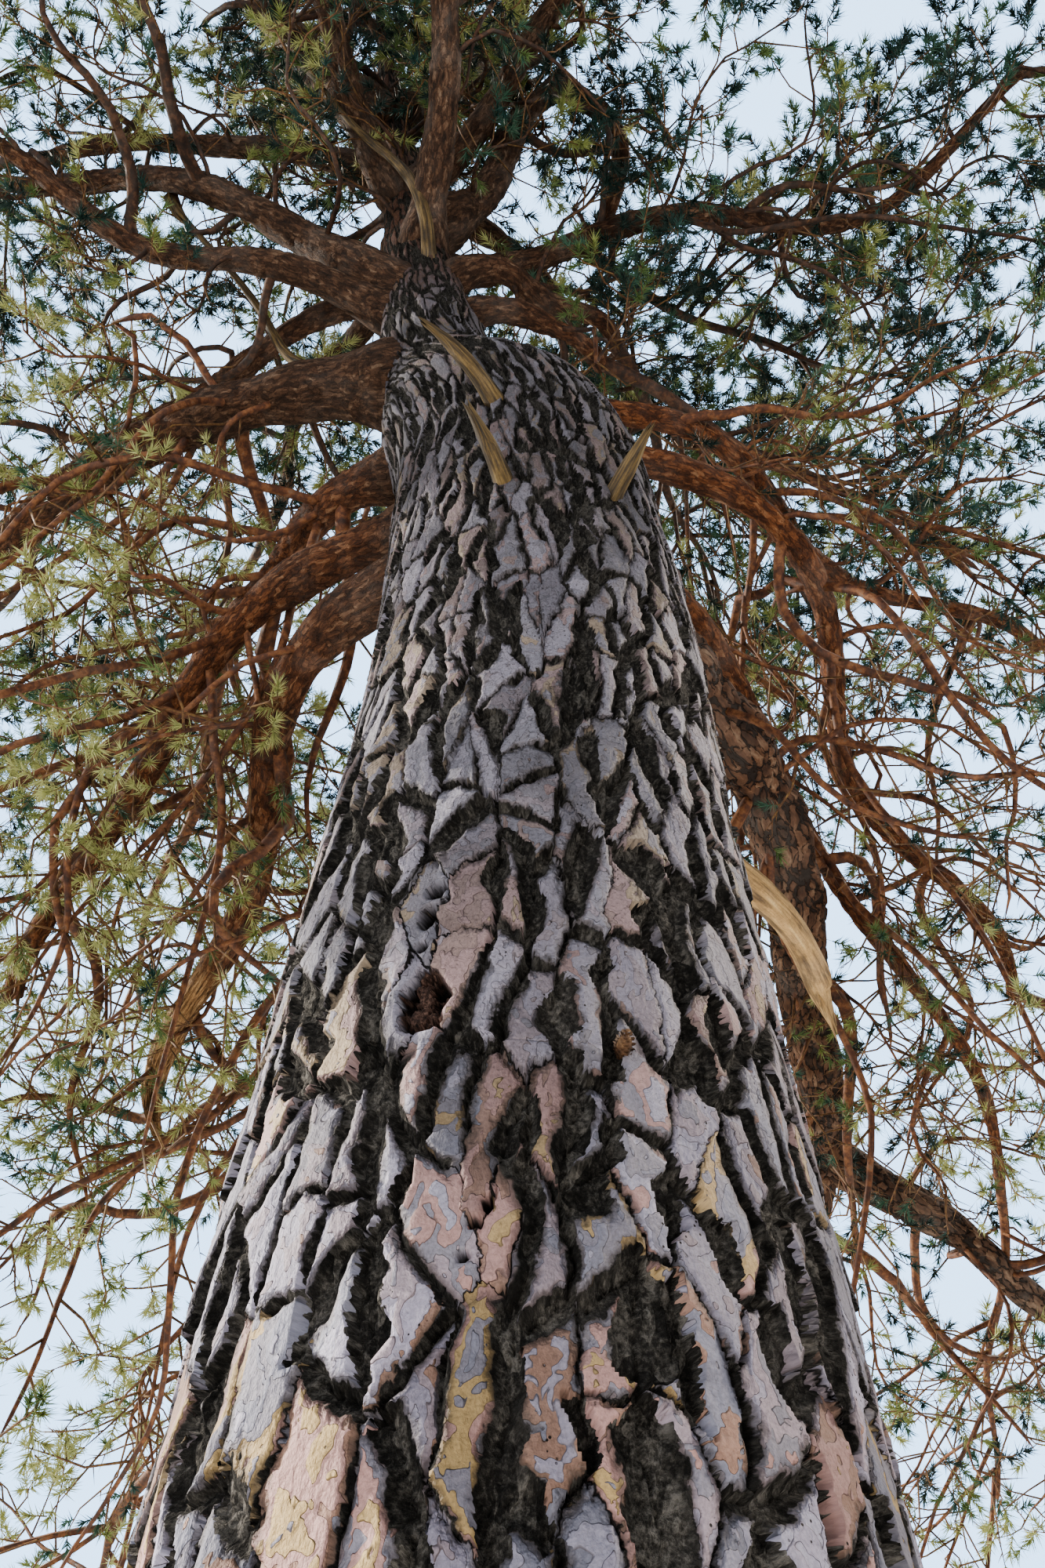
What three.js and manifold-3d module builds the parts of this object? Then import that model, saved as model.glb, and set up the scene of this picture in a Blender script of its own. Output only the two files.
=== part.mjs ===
// An old pine with a thick, slightly leaning trunk, a swollen shoulder where the crown begins,
// long crooked boughs all round, some dead wood, and masses of needles at the boughs' ends.
// Millimetres, +Z up. The origin is the middle of the trunk's flat cut at ground level.
// Headings are degrees from +Y towards +X, rises are degrees above the horizontal.
import * as THREE from "three";
import Module from "manifold-3d";

const wasm = await Module();
wasm.setup();

// Trunk: radius at named heights, then the narrowing above the shoulder, then the leader.
const LEADER_HEIGHT = 12700;
const TRUNK_HEIGHTS = [0, 1000, 2100, 3900, 5700];
const TRUNK_RADII = [600, 550, 512, 447, 425];
const SHOULDER_HEIGHT = 5750;
const SHOULDER_LENGTH = 850;
const NECK_RADIUS = 245;
const NECK_HEIGHT = 6900;
const LEADER_TIP_RADIUS = 22;
const TRUNK_SIDES = 18;
const ROOT_FLARE = 0.36;
const ROOT_FLARE_HEIGHT = 420;
const ROOT_LOBES = 5;
const ROOT_LOBE_DEPTH = 0.16;
const ROOT_LOBE_HEIGHT = 670;
const ROOT_LOBE_TURN = 0.9;
const FLUTES = 3;
const FLUTE_DEPTH = 0.018;
const FLUTE_TWIST = 1900;
const LEADER_TAPER = 0.7;

// Trunk axis: it leans back, steps to the left at the shoulder and straightens higher up.
const LEAN_BACK = 0.085;
const LEAN_END_HEIGHT = 6500;
const STRAIGHTEN = 0.000018;
const BULGE_SHIFT = 40;
const BULGE_HEIGHT = 4300;
const BULGE_SPREAD = 900;
const NECK_SHIFT = 380;
const NECK_SHIFT_START = 5350;
const NECK_SHIFT_LENGTH = 1600;
const LEADER_LEAN_LEFT = 0.125;

// Clearances.
const SEAM = 0.3;
const FACET_ALLOWANCE = 1.12;
const LIMB_CLEARANCE = 35;
const TRUNK_ROOM = 1.03;
const SPACE_MARGIN = 25;
const LOWEST_TWIG = 900;

// Limbs.
const SWAY_WAVES = 1.5;
const BOUGH_SIDES = 6;
const BOUGH_STEPS = 7;
const FORK_STEPS = 4;
const DEAD_SIDES = 5;
const DEAD_STEPS = 4;
const JOIN_OVERLAP = 60;

// Needle masses: one stem, side twigs round it, a spray on each twig.
const GOLDEN_ANGLE = 137.5;
const STEM_STEPS = 4;
const STEM_TIP_RADIUS = 13;
const STEM_START_SHARE = 0.9;
const STEM_SWAY = 9;
const STEM_LIFT = 5;
const TWIG_HALF_WIDTH = 15;
const TWIG_FIRST = 0.15;
const TWIG_LAST = 0.95;
const TWIG_ANGLE = 52;
const TWIG_ANGLE_SPREAD = 18;
const TWIG_ROLL_SPREAD = 24;
const TWIG_SHORTENING = 0.5;
const TWIG_LENGTH_SPREAD = 0.3;
const TWIG_LENGTH = 0.5;
const TWIG_TRIES = 4;
const TWIG_TURN = 67;
const TWIG_SPACING = 1.15;
const SPRAY_LENGTH = 0.42;
const SPRAY_WIDTH = 0.6;
const SPRAY_THICKNESS = 24;
const SPRAY_SKEW = 0.93;
// Side prong and notch of a spray: share of its length, share of its half width.
const PRONG = [0.62, 1.0];
const NOTCH = [0.5, 0.34];

// Boughs that grow from the trunk. height: where they leave the trunk's axis. turn, bend: how far
// heading and rise change over the length. sway, lift: size of the crooks, phase: where they fall.
const BOUGHS = [
  { name: "bough_left_main", height: 6550, heading: -84.7, rise: 11.7, length: 2610,
    turn: 40.9, bend: -3.5, sway: 2.0, lift: 0.5, phase: 3.37, base: 118, tip: 84 },
  { name: "bough_rear_main", height: 5050, heading: 42.3, rise: 8.5, length: 3890,
    turn: -40.4, bend: -21.4, sway: 7.6, lift: 6.3, phase: 5.89, base: 128, tip: 112 },
  { name: "bough_top_left", height: 10200, heading: -107.7, rise: 48.1, length: 1790,
    turn: -12.1, bend: 9.2, sway: 3.0, lift: -4.4, phase: 5.46, base: 125, tip: 105 },
  { name: "bough_crown_left_outer", height: 7400, heading: -116.2, rise: 37.5, length: 2560,
    turn: 43.2, bend: -7.9, sway: 6.3, lift: -2.1, phase: 0.43, base: 98, tip: 52 },
  { name: "bough_arch_rise", height: 8300, heading: 113.2, rise: 59.1, length: 1950,
    turn: 13.1, bend: 7.5, sway: 27.8, lift: 6.8, phase: 2.62, base: 92, tip: 68 },
  { name: "bough_left_torn", height: 5200, heading: -52.1, rise: -2.2, length: 3490,
    turn: 50.8, bend: -17.3, sway: 20.7, lift: 0.6, phase: 3.92, base: 84, tip: 34 },
  { name: "bough_left_lower_sweep", height: 5450, heading: -68.0, rise: -0.3, length: 3190,
    turn: 48.2, bend: -18.5, sway: -11.6, lift: 8.1, phase: 6.18, base: 78, tip: 42 },
  { name: "bough_left_upper_sweep", height: 5750, heading: -80.0, rise: 7.9, length: 1860,
    turn: 68.1, bend: 6.9, sway: 9.6, lift: 2.0, phase: 3.2, base: 74, tip: 50 },
  { name: "bough_left_drooping", height: 4700, heading: -28.9, rise: 18.9, length: 3760,
    turn: 9.2, bend: -71.9, sway: 1.1, lift: -14.5, phase: 5.44, base: 70, tip: 36 },
  { name: "bough_crown_left_inner", height: 7250, heading: -86.2, rise: 24.6, length: 2510,
    turn: -24.5, bend: 0.8, sway: 16.3, lift: -3.2, phase: 3.19, base: 76, tip: 44 },
  { name: "bough_crown_left_top", height: 9200, heading: -106.4, rise: 17.6, length: 2360,
    turn: 35.5, bend: -0.3, sway: 4.6, lift: -0.9, phase: 4.32, base: 76, tip: 46 },
  { name: "bough_crown_left_back", height: 7700, heading: -72.0, rise: 2.0, length: 2300,
    turn: 22.0, bend: -3.0, sway: 8.8, lift: 0.0, phase: 4.2, base: 64, tip: 40 },
  { name: "bough_right_long", height: 8050, heading: 66.2, rise: 32.7, length: 4380,
    turn: 50.7, bend: -8.6, sway: 22.4, lift: 2.1, phase: 5.88, base: 72, tip: 34 },
  { name: "bough_right_inner", height: 7550, heading: 103.9, rise: 24.4, length: 1230,
    turn: -79.0, bend: -6.5, sway: 25.2, lift: -1.4, phase: 0.55, base: 60, tip: 44 },
  { name: "bough_right_short", height: 7100, heading: 113.5, rise: 24.9, length: 980,
    turn: -87.3, bend: -14.9, sway: 8.4, lift: 0.3, phase: 0.32, base: 54, tip: 38 },
  { name: "bough_right_sweep", height: 6100, heading: 59.7, rise: -2.4, length: 4250,
    turn: -44.3, bend: -9.6, sway: 27.5, lift: 4.8, phase: 0.26, base: 66, tip: 34 },
  { name: "bough_right_upper_sweep", height: 6350, heading: 62.2, rise: 13.8, length: 3510,
    turn: -11.5, bend: -10.4, sway: -22.9, lift: -0.9, phase: 3.34, base: 60, tip: 34 },
  { name: "bough_right_lower_sweep", height: 5600, heading: 44.3, rise: 0.2, length: 4410,
    turn: -19.7, bend: -24.0, sway: -10.8, lift: 10.4, phase: 4.63, base: 54, tip: 28 },
  { name: "bough_back_left", height: 8600, heading: -35.0, rise: 24.0, length: 3100,
    turn: 14.0, bend: -6.0, sway: 12.0, lift: 4.0, phase: 1.2, base: 74, tip: 42 },
  { name: "bough_back_middle", height: 8250, heading: 8.0, rise: 15.0, length: 3200,
    turn: -12.0, bend: -4.0, sway: 14.0, lift: 3.0, phase: 2.9, base: 70, tip: 42 },
  { name: "bough_back_right", height: 9250, heading: 44.0, rise: 20.0, length: 3300,
    turn: -10.0, bend: -5.0, sway: 13.0, lift: 4.0, phase: 0.4, base: 74, tip: 42 },
  { name: "bough_front_left", height: 8800, heading: -150.0, rise: 24.0, length: 3200,
    turn: -12.0, bend: -8.0, sway: 12.0, lift: 4.0, phase: 2.2, base: 76, tip: 44 },
  { name: "bough_front_middle", height: 7950, heading: 176.0, rise: 36.0, length: 3600,
    turn: 8.0, bend: -30.0, sway: 9.0, lift: 4.0, phase: 3.6, base: 84, tip: 46 },
  { name: "bough_front_right", height: 9050, heading: 134.0, rise: 18.0, length: 3300,
    turn: -10.0, bend: -6.0, sway: 14.0, lift: 4.0, phase: 5.1, base: 76, tip: 44 },
  { name: "bough_top_right", height: 10600, heading: 71.2, rise: 49.9, length: 1870,
    turn: 83.4, bend: 21.9, sway: 20.3, lift: -7.9, phase: 5.4, base: 84, tip: 60 },
];

// Boughs that carry on from the end of another one, past a sharp bend or a fork.
const FORKED_BOUGHS = [
  { name: "bough_arch_fall", from: "bough_arch_rise", heading: 76.5, rise: -27.6, length: 1230,
    turn: -129.9, bend: -3.6, sway: 16.5, lift: 0.8, phase: 5.74, base: 64, tip: 42 },
  { name: "bough_rear_outer", from: "bough_rear_main", heading: 64.4, rise: -17.2, length: 1580,
    turn: -19.5, bend: 5.1, sway: -7.9, lift: -0.2, phase: 1.3, base: 100, tip: 70 },
  { name: "bough_rear_leg", from: "bough_rear_main", heading: -10.0, rise: -30.0, length: 720,
    turn: 16.5, bend: 2.9, sway: 3.1, lift: -0.1, phase: 1.5, base: 76, tip: 54 },
];

// Dead wood on the trunk. height: where its line leaves the trunk's axis.
const DEAD_WOOD = [
  { name: "dead_limb_bleached", height: 4024, heading: 53.4, rise: 9.35, length: 1968,
    turn: -37.0, bend: -4.8, sway: -3.4, lift: 1.3, phase: 1.03, base: 56, tip: 12 },
  { name: "dead_branch_neck", height: 7300, heading: -164.6, rise: 71.3, length: 2580,
    turn: 87.6, bend: -17.7, sway: 22.6, lift: 4.4, phase: 3.42, base: 40, tip: 9 },
  { name: "dead_branch_left", height: 7000, heading: -68.9, rise: 19.2, length: 2420,
    turn: -74.8, bend: 59.3, sway: 10.3, lift: -23.0, phase: 5.68, base: 32, tip: 8 },
  { name: "dead_stub_front", height: 4560, heading: -178.0, rise: 25.0, length: 704,
    turn: 32.5, bend: 0.0, sway: 0.0, lift: 0.0, phase: 0.0, base: 40, tip: 16 },
  { name: "dead_stub_shoulder", height: 5180, heading: -184.0, rise: 25.0, length: 812,
    turn: 68.8, bend: 0.0, sway: 0.0, lift: 0.0, phase: 0.0, base: 42, tip: 16 },
  { name: "dead_stub_right", height: 4500, heading: 151.2, rise: 28.0, length: 732,
    turn: -10.0, bend: 12.0, sway: 0.0, lift: 0.0, phase: 0.0, base: 38, tip: 14 },
];

// Needle masses. on: the bough they end. heading and rise: the stem's first direction.
// reach: length of the stem, droop: how far its rise changes over the length.
const MASSES = [
  { name: "needles_left_main", on: "bough_left_main", heading: -72, rise: 4,
    reach: 2600, droop: 6, twigs: 7, seed: 11 },
  { name: "needles_left_upper", on: "bough_left_upper_sweep", heading: -22, rise: 2,
    reach: 2500, droop: -10, twigs: 7, seed: 12 },
  { name: "needles_left_lower", on: "bough_left_lower_sweep", heading: -62, rise: -16,
    reach: 2300, droop: -14, twigs: 7, seed: 13 },
  { name: "needles_left_drooping", on: "bough_left_drooping", heading: -24, rise: -2,
    reach: 2000, droop: -12, twigs: 7, seed: 14 },
  { name: "needles_crown_left_outer", on: "bough_crown_left_outer", heading: -92, rise: 6,
    reach: 2500, droop: 2, twigs: 7, seed: 15 },
  { name: "needles_crown_left_inner", on: "bough_crown_left_inner", heading: -134, rise: -4,
    reach: 2500, droop: 4, twigs: 7, seed: 16 },
  { name: "needles_crown_left_top", on: "bough_crown_left_top", heading: -70, rise: 28,
    reach: 2500, droop: -12, twigs: 7, seed: 17 },
  { name: "needles_crown_left_back", on: "bough_crown_left_back", heading: -38, rise: 14,
    reach: 2500, droop: 2, twigs: 7, seed: 18 },
  { name: "needles_top_left", on: "bough_top_left", heading: -120, rise: 44,
    reach: 2500, droop: -34, twigs: 7, seed: 19 },
  { name: "needles_right_inner", on: "bough_right_inner", heading: 22, rise: 10,
    reach: 2200, droop: 4, twigs: 7, seed: 20 },
  { name: "needles_right_short", on: "bough_right_short", heading: 66, rise: -8,
    reach: 2200, droop: -4, twigs: 7, seed: 21 },
  { name: "needles_arch", on: "bough_arch_fall", heading: 62, rise: 6,
    reach: 2300, droop: 14, twigs: 7, seed: 22 },
  { name: "needles_right_long", on: "bough_right_long", heading: 100, rise: 14,
    reach: 2500, droop: -8, twigs: 7, seed: 23 },
  { name: "needles_right_sweep", on: "bough_right_sweep", heading: 66, rise: -2,
    reach: 2400, droop: -6, twigs: 7, seed: 24 },
  { name: "needles_right_upper", on: "bough_right_upper_sweep", heading: 76, rise: 8,
    reach: 2400, droop: 2, twigs: 7, seed: 25 },
  { name: "needles_right_lower", on: "bough_right_lower_sweep", heading: 6, rise: -16,
    reach: 2200, droop: -14, twigs: 7, seed: 26 },
  { name: "needles_rear_outer", on: "bough_rear_outer", heading: 48, rise: -18,
    reach: 2200, droop: -18, twigs: 7, seed: 27 },
  { name: "needles_back_left", on: "bough_back_left", heading: -24, rise: 18,
    reach: 2600, droop: -8, twigs: 7, seed: 28 },
  { name: "needles_back_middle", on: "bough_back_middle", heading: -2, rise: 12,
    reach: 2600, droop: -8, twigs: 7, seed: 29 },
  { name: "needles_back_right", on: "bough_back_right", heading: 36, rise: 16,
    reach: 2600, droop: -6, twigs: 7, seed: 30 },
  { name: "needles_front_left", on: "bough_front_left", heading: -156, rise: 14,
    reach: 2600, droop: -8, twigs: 7, seed: 31 },
  { name: "needles_front_middle", on: "bough_front_middle", heading: 178, rise: 0,
    reach: 2600, droop: -8, twigs: 7, seed: 32 },
  { name: "needles_front_right", on: "bough_front_right", heading: 124, rise: 8,
    reach: 2600, droop: -8, twigs: 7, seed: 33 },
  { name: "needles_top_right", on: "bough_top_right", heading: 128, rise: 46,
    reach: 2500, droop: -30, twigs: 7, seed: 34 },
  { name: "needles_top", on: "trunk", heading: -40, rise: 76,
    reach: 2100, droop: -10, twigs: 7, seed: 35 },
];

const MATERIALS = {
  trunk_bark: { color: 0x8d8587, roughness: 0.92 },
  bough_bark: { color: 0x7d4a30, roughness: 0.85 },
  dead_wood: { color: 0xa08a6c, roughness: 0.8 },
  needles: { color: 0x3f5a45, roughness: 0.65 },
};

const radians = (degrees) => (degrees * Math.PI) / 180;

function smooth(share) {
  const x = Math.min(1, Math.max(0, share));
  return x * x * (3 - 2 * x);
}

function seededRandom(seed) {
  let state = (seed * 7919 + 17) >>> 0;
  return () => {
    state = (Math.imul(state, 1664525) + 1013904223) >>> 0;
    return state / 4294967296;
  };
}

function interpolate(x, xs, ys) {
  if (x >= xs[xs.length - 1]) return ys[ys.length - 1];
  let i = 0;
  while (x > xs[i + 1]) i += 1;
  const share = (x - xs[i]) / (xs[i + 1] - xs[i]);
  return ys[i] + (ys[i + 1] - ys[i]) * share;
}

// Middle of the trunk at a height.
function trunkAxis(z) {
  const off = (z - BULGE_HEIGHT) / BULGE_SPREAD;
  const bulge = BULGE_SHIFT * Math.exp(-off * off);
  const neck = NECK_SHIFT * smooth((z - NECK_SHIFT_START) / NECK_SHIFT_LENGTH);
  const leader = LEADER_LEAN_LEFT * Math.max(0, z - NECK_HEIGHT);
  const above = Math.max(0, z - LEAN_END_HEIGHT);
  const y = LEAN_BACK * z - STRAIGHTEN * above * above;
  return new THREE.Vector3(bulge - neck - leader, y, z);
}

// Radius of the trunk at a height, without its lobes.
function trunkRadius(z) {
  const stem = interpolate(z, TRUNK_HEIGHTS, TRUNK_RADII);
  const step = smooth((z - SHOULDER_HEIGHT) / SHOULDER_LENGTH);
  const shaft = stem + (NECK_RADIUS - stem) * step;
  if (z <= NECK_HEIGHT) return shaft;
  const share = (z - NECK_HEIGHT) / (LEADER_HEIGHT - NECK_HEIGHT);
  return NECK_RADIUS + (LEADER_TIP_RADIUS - NECK_RADIUS) * Math.pow(share, LEADER_TAPER);
}

// The trunk's heights of cross section: close at the root flare and at the shoulder.
function trunkHeights() {
  const heights = [0, 110, 260, 480, 800, 1300, 2100, 3000, 3900, 4800, 5400];
  for (let z = 5750; z <= 6950; z += 200) heights.push(z);
  const leaderSteps = 6;
  for (let i = 1; i <= leaderSteps; i += 1) {
    heights.push(NECK_HEIGHT + 50 + ((LEADER_HEIGHT - NECK_HEIGHT - 50) * i) / leaderSteps);
  }
  return heights;
}

// Closes a stack of rings with a flat fan at each end and returns it as a solid.
function solidFromRings(rings) {
  const sides = rings[0].length;
  const vertices = [];
  const triangles = [];
  rings.forEach((ring) => ring.forEach((p) => vertices.push(p.x, p.y, p.z)));
  for (let r = 0; r < rings.length - 1; r += 1) {
    for (let s = 0; s < sides; s += 1) {
      const a = r * sides + s;
      const b = r * sides + ((s + 1) % sides);
      triangles.push(a, b, b + sides, a, b + sides, a + sides);
    }
  }
  const last = (rings.length - 1) * sides;
  for (let s = 1; s < sides - 1; s += 1) {
    triangles.push(0, s + 1, s, last, last + s, last + s + 1);
  }
  return solidFromTriangles(vertices, triangles);
}

function solidFromTriangles(vertices, triangles) {
  const mesh = new wasm.Mesh({
    numProp: 3,
    vertProperties: new Float32Array(vertices),
    triVerts: new Uint32Array(triangles),
  });
  return new wasm.Manifold(mesh);
}

// The trunk as one solid; grow makes the slightly larger copy that its neighbours are cut by.
function trunkSolid(grow) {
  const rings = trunkHeights().map((z) => {
    const middle = trunkAxis(z);
    const radius = trunkRadius(z);
    const flare = ROOT_FLARE * Math.exp(-z / ROOT_FLARE_HEIGHT);
    const lobes = ROOT_LOBE_DEPTH * Math.exp(-z / ROOT_LOBE_HEIGHT);
    const ring = [];
    for (let s = 0; s < TRUNK_SIDES; s += 1) {
      const angle = (2 * Math.PI * s) / TRUNK_SIDES;
      const lobe = lobes * Math.cos(ROOT_LOBES * angle + ROOT_LOBE_TURN);
      const flute = FLUTE_DEPTH * Math.cos(FLUTES * angle + z / FLUTE_TWIST);
      const r = radius * (1 + flare + lobe + flute) + grow;
      ring.push(
        new THREE.Vector3(middle.x + r * Math.cos(angle), middle.y + r * Math.sin(angle), z),
      );
    }
    return ring;
  });
  if (grow > 0) {
    rings[0].forEach((p) => p.setZ(-grow));
    rings[rings.length - 1].forEach((p) => p.setZ(p.z + grow));
  }
  return solidFromRings(rings);
}

function direction(heading, rise) {
  return new THREE.Vector3(
    Math.cos(rise) * Math.sin(heading),
    Math.cos(rise) * Math.cos(heading),
    Math.sin(rise),
  );
}

// Centre line of a limb as equal steps whose heading and rise change along the way.
function limbLine(start, limb, steps) {
  const fine = 4;
  const count = steps * fine;
  const point = start.clone();
  const line = [point.clone()];
  for (let i = 0; i < count; i += 1) {
    const s = (i + 0.5) / count;
    const wave = 2 * Math.PI * SWAY_WAVES * s + limb.phase;
    const heading = limb.heading + limb.turn * s + limb.sway * Math.sin(wave);
    const rise = limb.rise + limb.bend * s + limb.lift * Math.cos(wave);
    point.addScaledVector(direction(radians(heading), radians(rise)), limb.length / count);
    if ((i + 1) % fine === 0) line.push(point.clone());
  }
  return line;
}

// Rings square to a line, carried along it without twisting.
function ringsAlong(line, radii, sides) {
  const tangents = line.map((p, i) => {
    const before = line[Math.max(0, i - 1)];
    const after = line[Math.min(line.length - 1, i + 1)];
    return after.clone().sub(before).normalize();
  });
  const side = new THREE.Vector3(0, 0, 1).cross(tangents[0]);
  if (side.length() < 0.05) side.set(1, 0, 0);
  side.normalize();
  return line.map((p, i) => {
    side.addScaledVector(tangents[i], -side.dot(tangents[i])).normalize();
    const up = tangents[i].clone().cross(side);
    const ring = [];
    for (let s = 0; s < sides; s += 1) {
      const angle = (2 * Math.PI * s) / sides;
      ring.push(
        p
          .clone()
          .addScaledVector(side, radii[i] * Math.cos(angle))
          .addScaledVector(up, radii[i] * Math.sin(angle)),
      );
    }
    return ring;
  });
}

// A tapering limb; grow makes the larger copy that its neighbours are cut by.
function limbSolid(line, radii, sides, grow) {
  const points = line.map((p) => p.clone());
  if (grow > 0) {
    const last = points.length - 1;
    const ahead = points[last].clone().sub(points[last - 1]).normalize();
    const behind = points[0].clone().sub(points[1]).normalize();
    points[last].addScaledVector(ahead, grow);
    points[0].addScaledVector(behind, grow);
  }
  const larger = radii.map((r) => r + grow * FACET_ALLOWANCE);
  return solidFromRings(ringsAlong(points, larger, sides));
}

// Keeps the main body of a solid: cut-off scraps and sealed hollows go.
function mainBody(solid) {
  const bodies = solid.decompose();
  return bodies.reduce((best, body) => (body.volume() > best.volume() ? body : best));
}

// Shortest distance between two straight pieces.
function segmentDistance(p1, q1, p2, q2) {
  const d1 = q1.clone().sub(p1);
  const d2 = q2.clone().sub(p2);
  const r = p1.clone().sub(p2);
  const a = d1.dot(d1);
  const e = d2.dot(d2);
  const f = d2.dot(r);
  const c = d1.dot(r);
  const b = d1.dot(d2);
  const denominator = a * e - b * b;
  const clamp = (x) => Math.min(1, Math.max(0, x));
  let s = denominator > 1e-9 ? clamp((b * f - c * e) / denominator) : 0;
  let t = (b * s + f) / e;
  if (t < 0) {
    t = 0;
    s = clamp(-c / a);
  } else if (t > 1) {
    t = 1;
    s = clamp((b - c) / a);
  }
  return p1.clone().addScaledVector(d1, s).distanceTo(p2.clone().addScaledVector(d2, t));
}

// Every limb that needle masses must stay clear of: centre line, radii, name.
const limbs = new Map();
// Finished solids, and their larger copies that later pieces are cut by.
const pieces = [];
const cutters = new Map();

function addPiece(name, solid, slot) {
  pieces.push({ name, solid: mainBody(solid), slot });
}

// Cuts a piece by the larger copies of all limbs so far whose boxes it meets.
function cutByNeighbours(solid) {
  let result = solid;
  const box = solid.boundingBox();
  cutters.forEach((cutter) => {
    const other = cutter.boundingBox();
    const apart = [0, 1, 2].some(
      (k) => box.min[k] > other.max[k] || box.max[k] < other.min[k],
    );
    if (!apart) result = result.subtract(cutter);
  });
  return result;
}

function addLimb(limb, start, slot, sides, steps) {
  const line = limbLine(start, limb, steps);
  const radii = line.map((p, i) => limb.base + ((limb.tip - limb.base) * i) / steps);
  addPiece(limb.name, cutByNeighbours(limbSolid(line, radii, sides, 0)), slot);
  cutters.set(limb.name, limbSolid(line, radii, sides, SEAM));
  limbs.set(limb.name, { line, radii });
}

// A stem or a continuing limb starts a little inside the limb it grows from.
function startInside(name, overlap) {
  const { line } = limbs.get(name);
  const last = line.length - 1;
  const back = line[last - 1].clone().sub(line[last]).normalize();
  return line[last].clone().addScaledVector(back, overlap);
}

addPiece("trunk", trunkSolid(0), "trunk_bark");
cutters.set("trunk", trunkSolid(SEAM));
const trunkLine = trunkHeights().map((z) => trunkAxis(z));
const trunkRadii = trunkHeights().map((z) => trunkRadius(z) * TRUNK_ROOM);
limbs.set("trunk", { line: trunkLine, radii: trunkRadii });

BOUGHS.forEach((b) => addLimb(b, trunkAxis(b.height), "bough_bark", BOUGH_SIDES, BOUGH_STEPS));
FORKED_BOUGHS.forEach((b) => {
  const start = startInside(b.from, JOIN_OVERLAP);
  addLimb(b, start, "bough_bark", BOUGH_SIDES, FORK_STEPS);
});
DEAD_WOOD.forEach((d) => addLimb(d, trunkAxis(d.height), "dead_wood", DEAD_SIDES, DEAD_STEPS));

// Stem of a mass: a three-sided tapering piece from the bough's tip outwards.
function massStem(mass) {
  const carrier = limbs.get(mass.on);
  const start = startInside(mass.on, JOIN_OVERLAP / 2);
  const crooks = { turn: 0, sway: STEM_SWAY, lift: STEM_LIFT, phase: mass.seed };
  const path = { ...mass, ...crooks, length: mass.reach, bend: mass.droop };
  const line = limbLine(start, path, STEM_STEPS);
  const first = carrier.radii[carrier.radii.length - 1] * STEM_START_SHARE;
  const radii = line.map((p, i) => first + ((STEM_TIP_RADIUS - first) * i) / STEM_STEPS);
  return { line, radii };
}

const stems = MASSES.map(massStem);
// The middle of a mass's space, a little beyond the middle of its stem.
const centres = stems.map((stem) => stem.line[2].clone().lerp(stem.line[3], 0.5));
stems.forEach((stem, i) => limbs.set(MASSES[i].name, stem));

// True where a point lies in the space of a mass: nearer to its middle than to any other's.
function inSpace(point, index) {
  const own = point.distanceTo(centres[index]) + SPACE_MARGIN;
  if (point.z < LOWEST_TWIG) return false;
  return centres.every((centre, i) => i === index || point.distanceTo(centre) > own);
}

// True where a straight twig keeps clear of every limb but the named ones.
function clearOfLimbs(from, to, radius, but) {
  for (const [name, limb] of limbs) {
    if (but.includes(name)) continue;
    for (let i = 0; i < limb.line.length - 1; i += 1) {
      const room = Math.max(limb.radii[i], limb.radii[i + 1]) + radius + LIMB_CLEARANCE;
      if (segmentDistance(from, to, limb.line[i], limb.line[i + 1]) < room) return false;
    }
  }
  return true;
}

// Point and direction at a share of a line.
function alongLine(line, share) {
  const at = Math.min(line.length - 1.001, share * (line.length - 1));
  const i = Math.floor(at);
  const point = line[i].clone().lerp(line[i + 1], at - i);
  return { point, ahead: line[i + 1].clone().sub(line[i]).normalize() };
}

// A direction that leaves another one at an angle, turned round it.
function leaving(ahead, angle, roll) {
  const side = new THREE.Vector3(0, 0, 1).cross(ahead);
  if (side.length() < 0.05) side.set(1, 0, 0);
  side.normalize();
  const up = ahead.clone().cross(side);
  return ahead
    .clone()
    .multiplyScalar(Math.cos(angle))
    .addScaledVector(side, Math.sin(angle) * Math.cos(roll))
    .addScaledVector(up, Math.sin(angle) * Math.sin(roll));
}

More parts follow.
